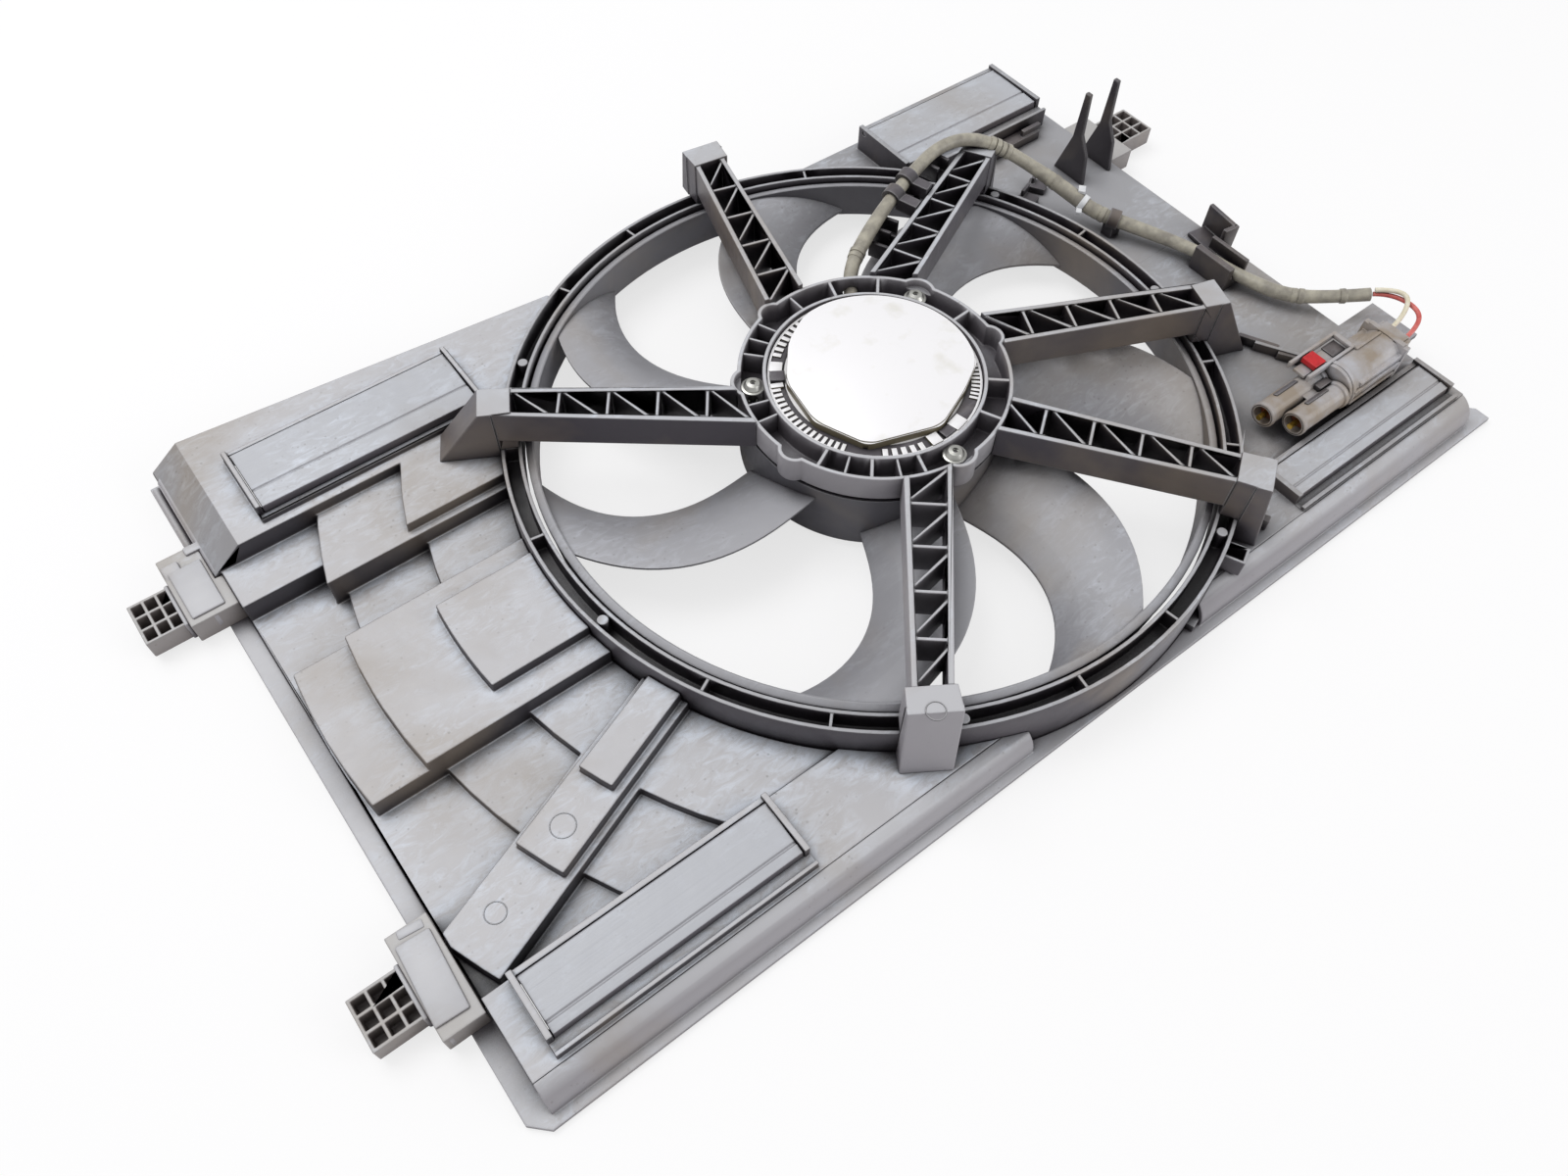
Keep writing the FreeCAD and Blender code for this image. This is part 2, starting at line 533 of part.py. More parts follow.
def fan_shaft():
    collar = disc(6.5, FAN_HUB_BASE + 6, FAN_HUB_BASE + 6.6)
    return disc(SHAFT_R, 1.5, CAN_TOP + 5).fuse(collar).removeSplitter()


def fan_nut():
    """Hexagon nut that holds the fan on the shaft."""
    across_corners = 13.0 / math.cos(math.radians(30))
    nut = prism([polar(across_corners / 2, 60.0 * k) for k in range(6)], 1.8, FAN_HUB_BASE - 1.2)
    return nut.cut(disc(SHAFT_R, 0, 10))


def fan_washer():
    return tube(SHAFT_R, 9.0, FAN_HUB_BASE - 1.2, FAN_HUB_BASE)


def armature_core():
    """Laminated core with winding slots."""
    body = disc(44.0, 20.0, 35.5)
    slots = [at(box(-7, 7, -1.6, 1.6, 18, 40), 35.0, 30.0 * k) for k in range(12)]
    mouths = [at(box(-3, 4, -0.8, 0.8, 18, 40), 43.0, 30.0 * k) for k in range(12)]
    return body.cut(fuse(slots + mouths + [disc(SHAFT_R, 0, 60)])).removeSplitter()


def armature_windings():
    ends = ((16.0, 20.0), (35.5, ARMATURE_TOP))
    return group(revolve(((18, a), (40, a), (42, (a + b) / 2), (40, b), (18, b), (16, (a + b) / 2))) for a, b in ends)


def commutator():
    return tube(SHAFT_R, 13.4, ARMATURE_TOP, 48.6)


# Motor lead and connector -----------------------------------------------------------------------
LEAD = (
    (27.6, 51.6, 48.5), (37, 67, 50), (49, 79, 53), (66, 88, 57), (92, 100, 61), (120, 109, 66), (145, 115, 69.5), (166, 110, 69.5),
    (182, 98, 63), (198, 84, 51), (211, 64, 40), (219, 42, 32), (235, 15, 29), (250, -18, 27.5), (254, -50, 27.5),
    (262, -78, 28.5), (280, -97, 32), (296, -111, 36),
)


def routed(points, radius):
    """Round cable along straight runs joined by tangent arcs as large as the runs allow."""
    spots = [Vector(*p) for p in points]
    edges, last = [], spots[0]
    for before, corner, after in zip(spots, spots[1:], spots[2:]):
        back, on = (before - corner), (after - corner)
        short = 0.45 * min(back.Length, on.Length)
        back.normalize()
        on.normalize()
        a, b = corner + back * short, corner + on * short
        bisector = (back + on).normalize()
        half_turn = (math.pi - back.getAngle(on)) / 2
        bend = short / math.tan(half_turn)
        centre = corner + bisector * (bend / math.cos(half_turn))
        middle = centre - bisector * bend
        edges += [Part.LineSegment(last, a).toShape(), Part.Arc(a, middle, b).toShape()]
        last = b
    edges.append(Part.LineSegment(last, spots[-1]).toShape())
    path = Part.Wire(edges)
    start = (spots[1] - spots[0]).normalize()
    profile = Part.Wire(Part.makeCircle(radius, spots[0], start))
    body = path.makePipeShell([profile], True, False)
    return body


# The connector lies along X with its two barrels towards -X.
PLUG_Y, PLUG_Z = -143.0, 34.0
PLUG_FRONT, PLUG_BACK = 218.0, 262.0
BARRELS = ((170.0, -135.0), (179.0, -149.5))          # mouth and axis of each barrel
BARREL_R = 7.0


def along_x(r, x0, x1, y, z):
    return Part.makeCylinder(r, x1 - x0, Vector(x0, y, z), Vector(1, 0, 0))


def connector_body():
    """Drum-shaped housing with two barrels, a back flange, side ribs and a guide for the lock."""
    y, z = PLUG_Y, PLUG_Z
    drum = fuse([along_x(13.5, PLUG_FRONT, PLUG_BACK, y, z), box(PLUG_FRONT + 8, PLUG_BACK, y - 13, y + 14, z - 12, z + 8)])
    drum = drum.common(box(PLUG_FRONT, PLUG_BACK, y - 14, y + 15, z - 12, z + 14))
    collar = along_x(14.3, PLUG_FRONT + 2, PLUG_FRONT + 5, y, z).common(box(0, 400, -300, 0, z - 12, z + 15))
    flange = box(PLUG_BACK, PLUG_BACK + 3.5, y - 14, y + 16, z - 12, z + 13)
    tail = box(PLUG_BACK + 3.5, PLUG_BACK + 14, y - 9, y + 11, z - 10, z + 9)
    barrels = [along_x(BARREL_R, x, PLUG_FRONT + 1, by, z) for x, by in BARRELS]
    bores = [along_x(BARREL_R - 1.4, x - 1, x + 24, by, z) for x, by in BARRELS]
    bridge = box(PLUG_FRONT - 22, PLUG_FRONT, y - 4, y + 6, z - 3, z + 4)
    guide = box(PLUG_FRONT - 16, PLUG_FRONT + 12, y + 9, y + 17, z + 8, z + 10)
    body = fuse([drum, collar, flange, tail, bridge, guide] + barrels).cut(fuse(bores))
    wires = [along_x(1.6, PLUG_BACK + 8, PLUG_BACK + 15, y + 1 + d, z + 3) for d in (-5, 5)]
    return body.cut(fuse(wires)).removeSplitter()


def connector_lock():
    """Red secondary lock on its guide."""
    y, z = PLUG_Y, PLUG_Z
    return box(PLUG_FRONT - 9.4, PLUG_FRONT - 0.4, y + 8, y + 18, z + 10.3, z + 14.0)


def connector_seals():
    return group(along_x(BARREL_R - 1.4, x + 9, x + 14, by, PLUG_Z).cut(along_x(1.7, x, x + 20, by, PLUG_Z))
                 for x, by in BARRELS)


def connector_terminals():
    return group(along_x(1.6, x - 3, x + 23, by, PLUG_Z) for x, by in BARRELS)


def wire(offset, rise):
    """Wire from the sleeve's end round into the back of the connector."""
    y, z = PLUG_Y + 1 + offset, PLUG_Z + 3
    points = ((297, -112, 36.5 + rise), (304, -120, 39 + rise), (303, y + 6, 41 + rise), (288, y, z),
              (PLUG_BACK + 10, y, z))
    return routed(points, 1.4)


def connector_bracket():
    """Shelf at the panel's right end that the connector sits on."""
    shelf = box(PANEL_RIGHT, 311, -143, -110, 17.0, 20.0)
    rail = box(226, 258, PLUG_Y - 8, PLUG_Y + 8, RIGHT_TOP, PLUG_Z - 12.0)
    fence = prism(((219, -92), (221, -91), (240, -123), (238, -124)), RIGHT_TOP, 26.0)
    return group([shelf, rail, fence])


# Small moulded details --------------------------------------------------------------------------
def pin_grid(x0, x1, y0, y1, z0, z1):
    """Locating tab with open square cells between its ribs."""
    body = box(x0, x1, y0, y1, z0, z1)
    columns, rows, rib = 3, 3, 1.6
    dx, dy = (x1 - x0 - rib) / columns, (y1 - y0 - rib) / rows
    cells = [box(x0 + rib + i * dx, x0 + (i + 1) * dx, y0 + rib + j * dy, y0 + (j + 1) * dy, z0 + 2.5, z1 + 1)
             for i in range(columns) for j in range(rows)]
    return body.cut(fuse(cells))


PINS = {
    "locating_pin_left_far": ((-357, -332, 98, 146), (-379, -357, 103, 130)),
    "locating_pin_left_near": ((-352, -332, -153, -100), (-377, -352, -139, -113)),
    "locating_pin_right": ((278, 303, 84, 128), (303, 334, 94, 121)),
}


def locating_pin(name):
    """Block on the flange with a ribbed tab that enters the radiator's side tank."""
    block, tab = PINS[name]
    body = box(*block, FLANGE, NEAR_TOP - 1).cut(high_plate(0.0))
    return body.fuse(pin_grid(*tab, FLANGE, FLANGE + 12)).removeSplitter()


def cable_prongs():
    """Two tall prongs that the hoses are laid between."""
    outline = ((75, RIGHT_TOP), (101, RIGHT_TOP), (92, 48), (90.5, 80), (86.5, 80), (85, 52), (78, 40))
    prongs = [extrude_x(outline, x, x + 3.0) for x in (244.0, 269.0)]
    return group(prongs)


def cable_saddle():
    """U-shaped cradle at the right end."""
    x, y, z = 252.0, -34.0, 27.5
    body = box(x - 9, x + 9, y - 14, y + 14, RIGHT_TOP, 36.0)
    lead = routed(LEAD, CABLE_R + 0.4)
    slot = box(x - 4.4, x + 6.0, y - 20, y + 20, z, 40)
    return body.cut(lead).cut(slot).removeSplitter()


def cable_clips():
    """Snap clips on the third spoke's side and on the plate beyond it."""
    lead = routed(LEAD, CABLE_R + 0.3)
    spoke_line = (polar(HUB_R, SPOKES[2][1]), polar(RING_R, SPOKES[2][0]))
    beam = prism([(x + dx, y + dy) for (x, y), (dx, dy) in zip(
        (spoke_line[0], spoke_line[1], spoke_line[1], spoke_line[0]), ((5, -11), (4, -9), (-4, 9), (-5, 11)))], 0, 90)
    clips = []
    for k, share in ((4, 0.25), (4, 0.75), (11, 0.4)):
        a, b = Vector(*LEAD[k]), Vector(*LEAD[k + 1])
        along = (b - a).normalize()
        spot = a + (b - a) * share
        ring = Part.makeCylinder(CABLE_R + 2.4, 7.0, spot - along * 3.5, along)
        if k < 6:
            foot = box(-3.5, 3.5, -30, -CABLE_R, -6, 2)
            foot.rotate(Vector(0, 0, 0), Vector(0, 0, 1), math.degrees(math.atan2(along.y, along.x)))
            foot = moved(foot, spot.x, spot.y, spot.z).cut(beam)
        else:
            foot = box(spot.x - 4, spot.x + 4, spot.y - 4, spot.y + 4, RIGHT_TOP, spot.z)
        clips.append(ring.fuse(foot).cut(lead))
    return group(clips)


# Assembly ---------------------------------------------------------------------------------------
def build():
    nodes = {
        "panel_left": panel_left(),
        "panel_near": corner_panel("flap_left_near", *NEAR_PANEL, ("near", "far", "right")),
        "panel_right_far": corner_panel("flap_right_far", *FAR_RIGHT, ("near", "left")),
        "panel_right_near": panel_right_near(),
        "rim_flange": rim(),
        "barrel": barrel(),
        "motor_carrier": motor_carrier(),
    }
    for number, values in enumerate(SPOKES, 1):
        nodes["spoke_%d" % number] = spoke(*values)
    for name in FLAPS:
        nodes[name] = flap(name)
    for name in PINS:
        nodes[name] = locating_pin(name)
    nodes.update(
        cable_prongs=cable_prongs(), cable_saddle=cable_saddle(), cable_clips=cable_clips(),
        connector_bracket=connector_bracket(), motor_housing=motor_housing(), motor_end_shield=motor_end_shield(),
        bearing_lower=bearing(CAN_BASE, CAN_BASE + 6), bearing_upper=bearing(CAN_TOP - 2.5, CAN_TOP + 4.5),
        magnets=magnets(), brush_card=brush_card(), brushes=brushes(), brush_springs=brush_springs(),
        motor_screws=motor_screws(), fan_hub=fan_hub(), fan_blades=fan_blades(), fan_ring=fan_ring(),
        fan_shaft=fan_shaft(), fan_nut=fan_nut(), fan_washer=fan_washer(), armature_core=armature_core(),
        armature_windings=armature_windings(), commutator=commutator(), motor_lead=routed(LEAD, CABLE_R),
        connector_body=connector_body(), connector_lock=connector_lock(), connector_seals=connector_seals(),
        connector_terminals=connector_terminals(), wire_red=wire(-5.0, 0.0), wire_white=wire(5.0, 3.2),
    )
    return nodes


os.makedirs("parts", exist_ok=True)
for node, solid in build().items():
    placed = moved(solid, FAN_X, FAN_Y)
    placed.exportStep("parts/%s.step" % node)
    print(node, placed.isValid(), len(placed.Solids), round(placed.Volume / 1000, 1))
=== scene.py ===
import json
import math

import bmesh
import bpy
from mathutils import Matrix, Vector


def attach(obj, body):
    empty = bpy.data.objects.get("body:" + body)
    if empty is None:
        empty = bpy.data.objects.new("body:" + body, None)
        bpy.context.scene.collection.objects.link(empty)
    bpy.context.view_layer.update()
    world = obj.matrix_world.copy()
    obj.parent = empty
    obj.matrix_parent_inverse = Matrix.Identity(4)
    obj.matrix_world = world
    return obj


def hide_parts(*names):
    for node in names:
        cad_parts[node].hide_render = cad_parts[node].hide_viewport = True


# Radiator fan shroud: the looks. Metres; the CAD nodes give every place.
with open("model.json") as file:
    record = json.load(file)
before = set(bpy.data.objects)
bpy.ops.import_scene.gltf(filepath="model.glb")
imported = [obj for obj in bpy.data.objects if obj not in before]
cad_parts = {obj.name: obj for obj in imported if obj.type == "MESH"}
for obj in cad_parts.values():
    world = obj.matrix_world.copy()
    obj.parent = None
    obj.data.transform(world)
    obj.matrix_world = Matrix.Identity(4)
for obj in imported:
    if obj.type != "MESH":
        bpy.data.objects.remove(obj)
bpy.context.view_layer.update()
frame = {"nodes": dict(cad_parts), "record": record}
NODES = frame["nodes"]
FAN = Vector((0.0225, -0.0028, 0.0))


def place(x, y, z):
    """A point given in millimetres from the fan's axis, as in the part's own source."""
    return FAN + Vector((x, y, z)) / 1000


# Materials --------------------------------------------------------------------------------------
def srgb(text):
    """Linear colour of an sRGB hex value."""
    parts = [int(text[k:k + 2], 16) / 255 for k in (1, 3, 5)]
    return [p / 12.92 if p <= 0.04045 else ((p + 0.055) / 1.055) ** 2.4 for p in parts] + [1.0]


def node(tree, kind, inputs=None, **settings):
    """Adds a node with its settings; an input takes a value or the socket that feeds it."""
    made = tree.nodes.new("ShaderNode" + kind)
    for name, value in settings.items():
        setattr(made, name, value)
    for name, value in (inputs or {}).items():
        if isinstance(value, bpy.types.NodeSocket):
            tree.links.new(value, made.inputs[name])
        else:
            made.inputs[name].default_value = value
    return made


def start(name, **shader):
    """A material with its shader, and its tree."""
    material = bpy.data.materials.new(name)
    material.use_nodes = True
    tree = material.node_tree
    surface = tree.nodes["Principled BSDF"]
    for socket, value in shader.items():
        surface.inputs[socket.replace("_", " ")].default_value = value
    return material, tree, surface


def ramp(tree, value, low, high, to_low=0.0, to_high=1.0):
    """Maps one range of a value onto another, and clamps it there."""
    ends = {"Value": value, "From Min": low, "From Max": high, "To Min": to_low, "To Max": to_high}
    return node(tree, "MapRange", ends).outputs["Result"]


def blend(tree, share, first, second):
    """Goes from the first colour to the second with the share."""
    return node(tree, "Mix", {"Factor": share, "A": first, "B": second}, data_type="RGBA").outputs["Result"]


def maths(tree, operation, first, second):
    """One operation on two values."""
    return node(tree, "Math", {0: first, 1: second}, operation=operation).outputs[0]


def noise(tree, vector, scale, detail, roughness=0.5, distortion=0.0):
    """Cloudy noise; the scale is in clouds for each metre."""
    settings = {"Vector": vector, "Scale": scale, "Detail": detail, "Roughness": roughness,
                "Distortion": distortion}
    return node(tree, "TexNoise", settings).outputs["Fac"]


def cosine(tree, first, second):
    """How far two directions agree."""
    return node(tree, "VectorMath", {0: first, 1: second}, operation="DOT_PRODUCT").outputs["Value"]


def bumped(tree, strength, depth, height, normal=None):
    """Normal with a relief of a depth in metres."""
    settings = {"Strength": strength, "Distance": depth, "Height": height}
    if normal:
        settings["Normal"] = normal
    return node(tree, "Bump", settings).outputs["Normal"]


LIT_FROM_SIDE = (0.80, -0.60, 0.0)      # the flank painted lighter, as if lit from the near right
ROAD_DIRT, GRIT, WORN_EDGE_AND_HIGHLIGHT = "#948571", "#5f584f", "#cfcfd2"
SHADE_AND_DIRT_REACH, EDGE_REACH = 0.020, 0.0014


def moulded_nylon(name, upper, side, hollow_shade, haze, roughness, grain=0.35, lines=None, bloom=0.0,
                  flank_light=(0.70, 0.12)):
    """Glass-filled nylon, injection moulded, years in an engine bay. The faces that look up are painted
    pale, as dust and a painted sheen;
    the upright faces show the bare dark moulding, a flank is painted lighter as if lit, corners get painted
    shade with black dirt, and edges are painted pale as rubbed wear with a painted highlight."""
    material, tree, surface = start(name, Specular_IOR_Level=0.5, IOR=1.53)
    where = node(tree, "TexCoord")
    spot, facing = where.outputs["Object"], where.outputs["Normal"]
    # painted sheen with dust: faces that look up go pale, upright faces keep the dark moulding
    upward = ramp(tree, node(tree, "SeparateXYZ", {"Vector": facing}).outputs["Z"], 0.60, 0.96)
    # painted light: flanks facing LIT_FROM_SIDE go lighter
    flank_lit = ramp(tree, cosine(tree, facing, LIT_FROM_SIDE), flank_light[0], 1.0, 0.0, flank_light[1])
    flank = blend(tree, flank_lit, srgb(side), srgb(upper))
    faces = blend(tree, upward, flank, srgb(upper))
    # large clouds of haze, about 60 mm across
    cloudy = ramp(tree, noise(tree, spot, 17.0, 5.0, 0.62, 0.7), 0.40, 0.66)
    # rubbed streaks, 3 to 20 mm
    stretch = node(tree, "Mapping", {"Vector": spot, "Scale": (1.0, 2.6, 1.0), "Rotation": (0, 0, 0.9)})
    rubs = noise(tree, stretch.outputs["Vector"], 75.0, 6.0, 0.7, 1.2)
    scuffed = maths(tree, "MULTIPLY", cloudy, ramp(tree, rubs, 0.47, 0.74))
    # painted shade: corners and channels hold little light, and black dirt; both darken them towards the
    # hollow colour
    light = node(tree, "AmbientOcclusion", {"Distance": SHADE_AND_DIRT_REACH}, samples=8).outputs["AO"]
    in_open = ramp(tree, light, 0.36, 0.78)
    # dried rain leaves a bluish bloom at the foot of the steps
    wet = maths(tree, "MULTIPLY", ramp(tree, light, 0.98, 0.80), bloom)
    dried = maths(tree, "MULTIPLY", wet, ramp(tree, rubs, 0.36, 0.60))
    flat_only = maths(tree, "MULTIPLY", maths(tree, "MAXIMUM", scuffed, dried), upward)
    hazed = blend(tree, maths(tree, "MULTIPLY", flat_only, 0.85), faces, srgb(haze))
    # brownish road dirt in broad stains, about 110 mm
    stained = ramp(tree, noise(tree, spot, 9.0, 4.0, 0.55, 0.4), 0.50, 0.68, 0.0, 0.42)
    dirty = blend(tree, stained, hazed, srgb(ROAD_DIRT))
    # specks of grit, 1 mm
    grains = node(tree, "TexVoronoi", {"Vector": spot, "Scale": 210.0}, feature="F1").outputs["Distance"]
    specks = maths(tree, "MULTIPLY", ramp(tree, grains, 0.16, 0.10, 0.0, 0.35), cloudy)
    gritty = blend(tree, specks, dirty, srgb(GRIT))
    shaded = blend(tree, in_open, srgb(hollow_shade), gritty)
    # worn edges with a painted highlight: pale where the rounded edge turns away from the face
    rounded = node(tree, "Bevel", {"Radius": EDGE_REACH}, samples=6).outputs["Normal"]
    turn = cosine(tree, rounded, node(tree, "NewGeometry").outputs["Normal"])
    worn_and_highlit = maths(tree, "MULTIPLY", ramp(tree, turn, 0.97, 0.80, 0.0, 0.45), in_open)
    tree.links.new(blend(tree, worn_and_highlit, shaded, srgb(WORN_EDGE_AND_HIGHLIGHT)), surface.inputs["Base Color"])
    # the gloss follows the rubs
    gloss = ramp(tree, rubs, 0.3, 0.8, roughness - 0.07, roughness + 0.10)
    tree.links.new(gloss, surface.inputs["Roughness"])
    # sink waves about 12 mm, and moulded grain about 0.8 mm
    waves = bumped(tree, 0.35, 0.0012, noise(tree, spot, 85.0, 1.0), rounded)
    relief = bumped(tree, grain, 0.00012, noise(tree, spot, 1300.0, 2.0), waves)
    if lines:
        # drawn lines left by the tool along the flap
        along = node(tree, "Mapping", {"Vector": spot, "Scale": (0.02, 1.0, 1.0)}).outputs["Vector"]
        relief = bumped(tree, 0.5, 0.0003, noise(tree, along, lines, 3.0), relief)
    tree.links.new(relief, surface.inputs["Normal"])
    return material


def metal(name, colour, roughness):
    """Bare or plated metal with a faint cloud in its gloss."""
    material, tree, surface = start(name, Metallic=1.0, Base_Color=srgb(colour))
    cloud = noise(tree, node(tree, "TexCoord").outputs["Object"], 220.0, 4.0)
    gloss = ramp(tree, cloud, 0.3, 0.7, roughness - 0.08, roughness + 0.08)
    tree.links.new(gloss, surface.inputs["Roughness"])
    tree.links.new(bumped(tree, 0.12, 0.0002, cloud), surface.inputs["Normal"])
    return material


BRIGHT_TOP, OLD_STAIN, SIDE_BROWN, CREASE_SHADE = "#fdfcfe", "#d9d5c4", "#6f6753", "#3a3533"


def bright_end(name):
    """Aluminium end of the motor: almost white on top, the aluminium with a painted highlight, and darker
    brown on its upright sides.
    """
    material, tree, surface = start(name, Metallic=0.15, Roughness=0.45)
    where = node(tree, "TexCoord")
    axes = node(tree, "SeparateXYZ", {"Vector": where.outputs["Normal"]})
    upward = ramp(tree, axes.outputs["Z"], 0.2, 0.8)
    cloud = noise(tree, where.outputs["Object"], 60.0, 5.0)
    # painted highlight: the top is near white, with faint stains
    top = blend(tree, ramp(tree, cloud, 0.58, 0.74, 0.0, 0.35), srgb(BRIGHT_TOP), srgb(OLD_STAIN))
    tree.links.new(blend(tree, upward, srgb(SIDE_BROWN), top), surface.inputs["Base Color"])
    tree.links.new(bumped(tree, 0.10, 0.0003, cloud), surface.inputs["Normal"])
    return material


def tinted(name, light, dark, roughness, scale=160.0, bump=0.1):
    """Rubber, insulation or small mouldings: two tones in soft clouds, with painted shade in the creases.
    """
    material, tree, surface = start(name, Roughness=roughness)
    cloud = noise(tree, node(tree, "TexCoord").outputs["Object"], scale, 5.0, 0.6)
    colour = blend(tree, ramp(tree, cloud, 0.35, 0.68), srgb(dark), srgb(light))
    # painted shade in the creases
    crease = node(tree, "AmbientOcclusion", {"Distance": 0.006}, samples=8).outputs["AO"]
    shaded = blend(tree, ramp(tree, crease, 0.15, 0.70), srgb(CREASE_SHADE), colour)
    tree.links.new(shaded, surface.inputs["Base Color"])
    tree.links.new(bumped(tree, bump, 0.0004, cloud), surface.inputs["Normal"])
    return material


HAZE = "#dfe6f2"
FINISH = {
    "shroud_nylon": moulded_nylon("PA6_GF_panel", "#bdbcbf", "#322e34", "#1b171c", HAZE, 0.44, bloom=1.0),
    "flap_plastic": moulded_nylon("PA6_GF_flap", "#b9bbc1", "#6a666d", "#332e34", HAZE, 0.42, lines=900.0),
    "fan_nylon": moulded_nylon("PA6_GF_fan", "#a8a8ad", "#57565c", "#2b272d", "#c6c9d2", 0.40, grain=0.2,
                               flank_light=(0.35, 0.45)),
    "zinc_plated_steel": metal("zinc_plated_steel", "#c9c9c4", 0.38),
    "motor_end_metal": bright_end("motor_end_aluminium"),
    "bearing_steel": metal("ground_steel", "#d0d0d2", 0.25),
    "core_steel": metal("laminated_steel", "#9a9a9c", 0.45),
    "copper": metal("enamelled_copper", "#c87a4e", 0.35),
    "gold_brass": metal("plated_brass", "#e8c25a", 0.28),
    "ferrite": tinted("sintered_ferrite", "#4a4a4c", "#38383a", 0.6),
    "card_plastic": tinted("phenolic_card", "#5d5445", "#463f33", 0.6),
    "carbon": tinted("pressed_carbon", "#3a3a3c", "#2a2a2c", 0.5),
    "lead_sheath": tinted("taped_sleeve", "#bbb6a6", "#8d887f", 0.36, scale=110.0, bump=0.2),
    "connector_plastic": tinted("dusty_polyamide", "#babac0", "#9b8e80", 0.28, scale=45.0),
    "red_plastic": tinted("red_polyamide", "#d8242c", "#b01c22", 0.35),
    "orange_rubber": tinted("silicone_seal", "#c46a35", "#8f4a20", 0.5),
    "red_wire": tinted("red_insulation", "#e4837c", "#c85650", 0.45),
    "tie_nylon": tinted("clear_nylon_tie", "#f1f2f4", "#d4d6da", 0.25),
    "white_wire": tinted("white_insulation", "#f2eddc", "#d9cfb0", 0.45),
}
# lit and shaded copies of the same nylon: sides, hollows and lit flanks painted lighter or darker than the
# panel's for the light where these parts stand; the black trim is darker
LIT_SIDES = moulded_nylon("PA6_GF_lit_sides", "#c0c0c4", "#9c999e", "#4c484d", HAZE, 0.42,
                           flank_light=(0.35, 0.45))
PIN_CELLS = moulded_nylon("PA6_GF_pins", "#b6b4b3", "#908b8a", "#6d6664", HAZE, 0.42)
BEAMS = moulded_nylon("PA6_GF_beams", "#bcbdc2", "#4b474e", "#1f1b20", HAZE, 0.42)
RING = moulded_nylon("PA6_GF_ring", "#adadb1", "#4f4b51", "#1b171c", HAZE, 0.42, flank_light=(0.45, 0.80))
DULL_PLATES = moulded_nylon("PA6_GF_dull_plates", "#a3a3a7", "#3f3b41", "#1f1b20", HAZE, 0.44)
BLACK_TRIM = moulded_nylon("PA6_GF_black_trim", "#5a565b", "#343035", "#1a161b", "#8f8c92", 0.40)
NODE_FINISH = {
    "motor_carrier": LIT_SIDES, "spoke_6": LIT_SIDES, "rim_flange": LIT_SIDES, "barrel": RING,
    "panel_right_far": DULL_PLATES, "panel_right_near": DULL_PLATES, "connector_bracket": DULL_PLATES,
    "cable_clips": BLACK_TRIM, "cable_saddle": BLACK_TRIM, "cable_prongs": BLACK_TRIM,
}
NODE_FINISH.update({"spoke_%d" % k: BEAMS for k in range(1, 6)})
NODE_FINISH.update({name: PIN_CELLS for name in NODES if name.startswith("locating_pin")})
SLOT_OF = {part["node"]: part["material_slot"] for part in frame["record"]["subparts"]}
for part_name, cad in NODES.items():
    cad.data.materials.clear()
    cad.data.materials.append(NODE_FINISH.get(part_name, FINISH[SLOT_OF[part_name]]))


WELD_WITHIN, FLAT_WITHIN, ROUND_OVER = 0.00001, 2.0, 50.0    # metres, degrees, degrees


def soften(part_name, width):
    """Rounds a moulding's edges; the flat faces are made whole first."""
    cad = NODES[part_name]
    weld = cad.modifiers.new("weld", "WELD")
    weld.merge_threshold = WELD_WITHIN
    whole = cad.modifiers.new("whole_faces", "DECIMATE")
    whole.decimate_type = "DISSOLVE"
    whole.angle_limit = math.radians(FLAT_WITHIN)
    bevel = cad.modifiers.new("rounded_edges", "BEVEL")
    bevel.width = width
    bevel.segments = 2
    bevel.limit_method = "ANGLE"
    bevel.angle_limit = math.radians(ROUND_OVER)
    bevel.use_clamp_overlap = False
    bevel.harden_normals = True


ROUNDED = {
    "panel_left": 0.0010, "panel_near": 0.0005,
    "rim_flange": 0.0006, "locating_pin_left_far": 0.0005, "locating_pin_left_near": 0.0005,
    "locating_pin_right": 0.0005, "cable_prongs": 0.0006, "cable_saddle": 0.0006, "motor_carrier": 0.0004,
    "connector_body": 0.0005, "connector_lock": 0.0006, "barrel": 0.0004,
}
ROUNDED.update({"spoke_%d" % k: 0.0006 for k in range(1, 7)})
ROUNDED.update({name: 0.0004 for name in NODES if name.startswith("flap_")})
for part_name, width in ROUNDED.items():
    soften(part_name, width)


def dress(piece, slot_name, body, stands_for):
    """Gives a new piece its finish and its body, and hides the CAD nodes it stands for."""
    piece.data.materials.append(FINISH[slot_name])
    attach(piece, body)
    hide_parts(*stands_for)


# Pieces -----------------------------------------------------------------------------------------
def polar(r, angle, z=0.0):
    return r * math.cos(math.radians(angle)), r * math.sin(math.radians(angle)), z


def block(bm, centre, size, turn=0.0, tilt=0.0):
    """Block in mm about a point, turned about the vertical and tilted about its own length."""
    spin = Matrix.Rotation(math.radians(turn), 4, "Z") @ Matrix.Rotation(math.radians(tilt), 4, "X")
    scale = Matrix.Diagonal((size[0], size[1], size[2], 1.0))
    bmesh.ops.create_cube(bm, size=1.0, matrix=Matrix.Translation(centre) @ spin @ scale)


def rod(bm, first, last, radius, segments):
    """Round rod between two points in mm."""
    first, last = Vector(first), Vector(last)
    along = last - first
    turn = along.to_track_quat("Z", "Y").to_matrix().to_4x4()
    matrix = Matrix.Translation((first + last) / 2) @ turn
    bmesh.ops.create_cone(bm, cap_ends=True, segments=segments, radius1=radius, radius2=radius,
                          depth=along.length, matrix=matrix)


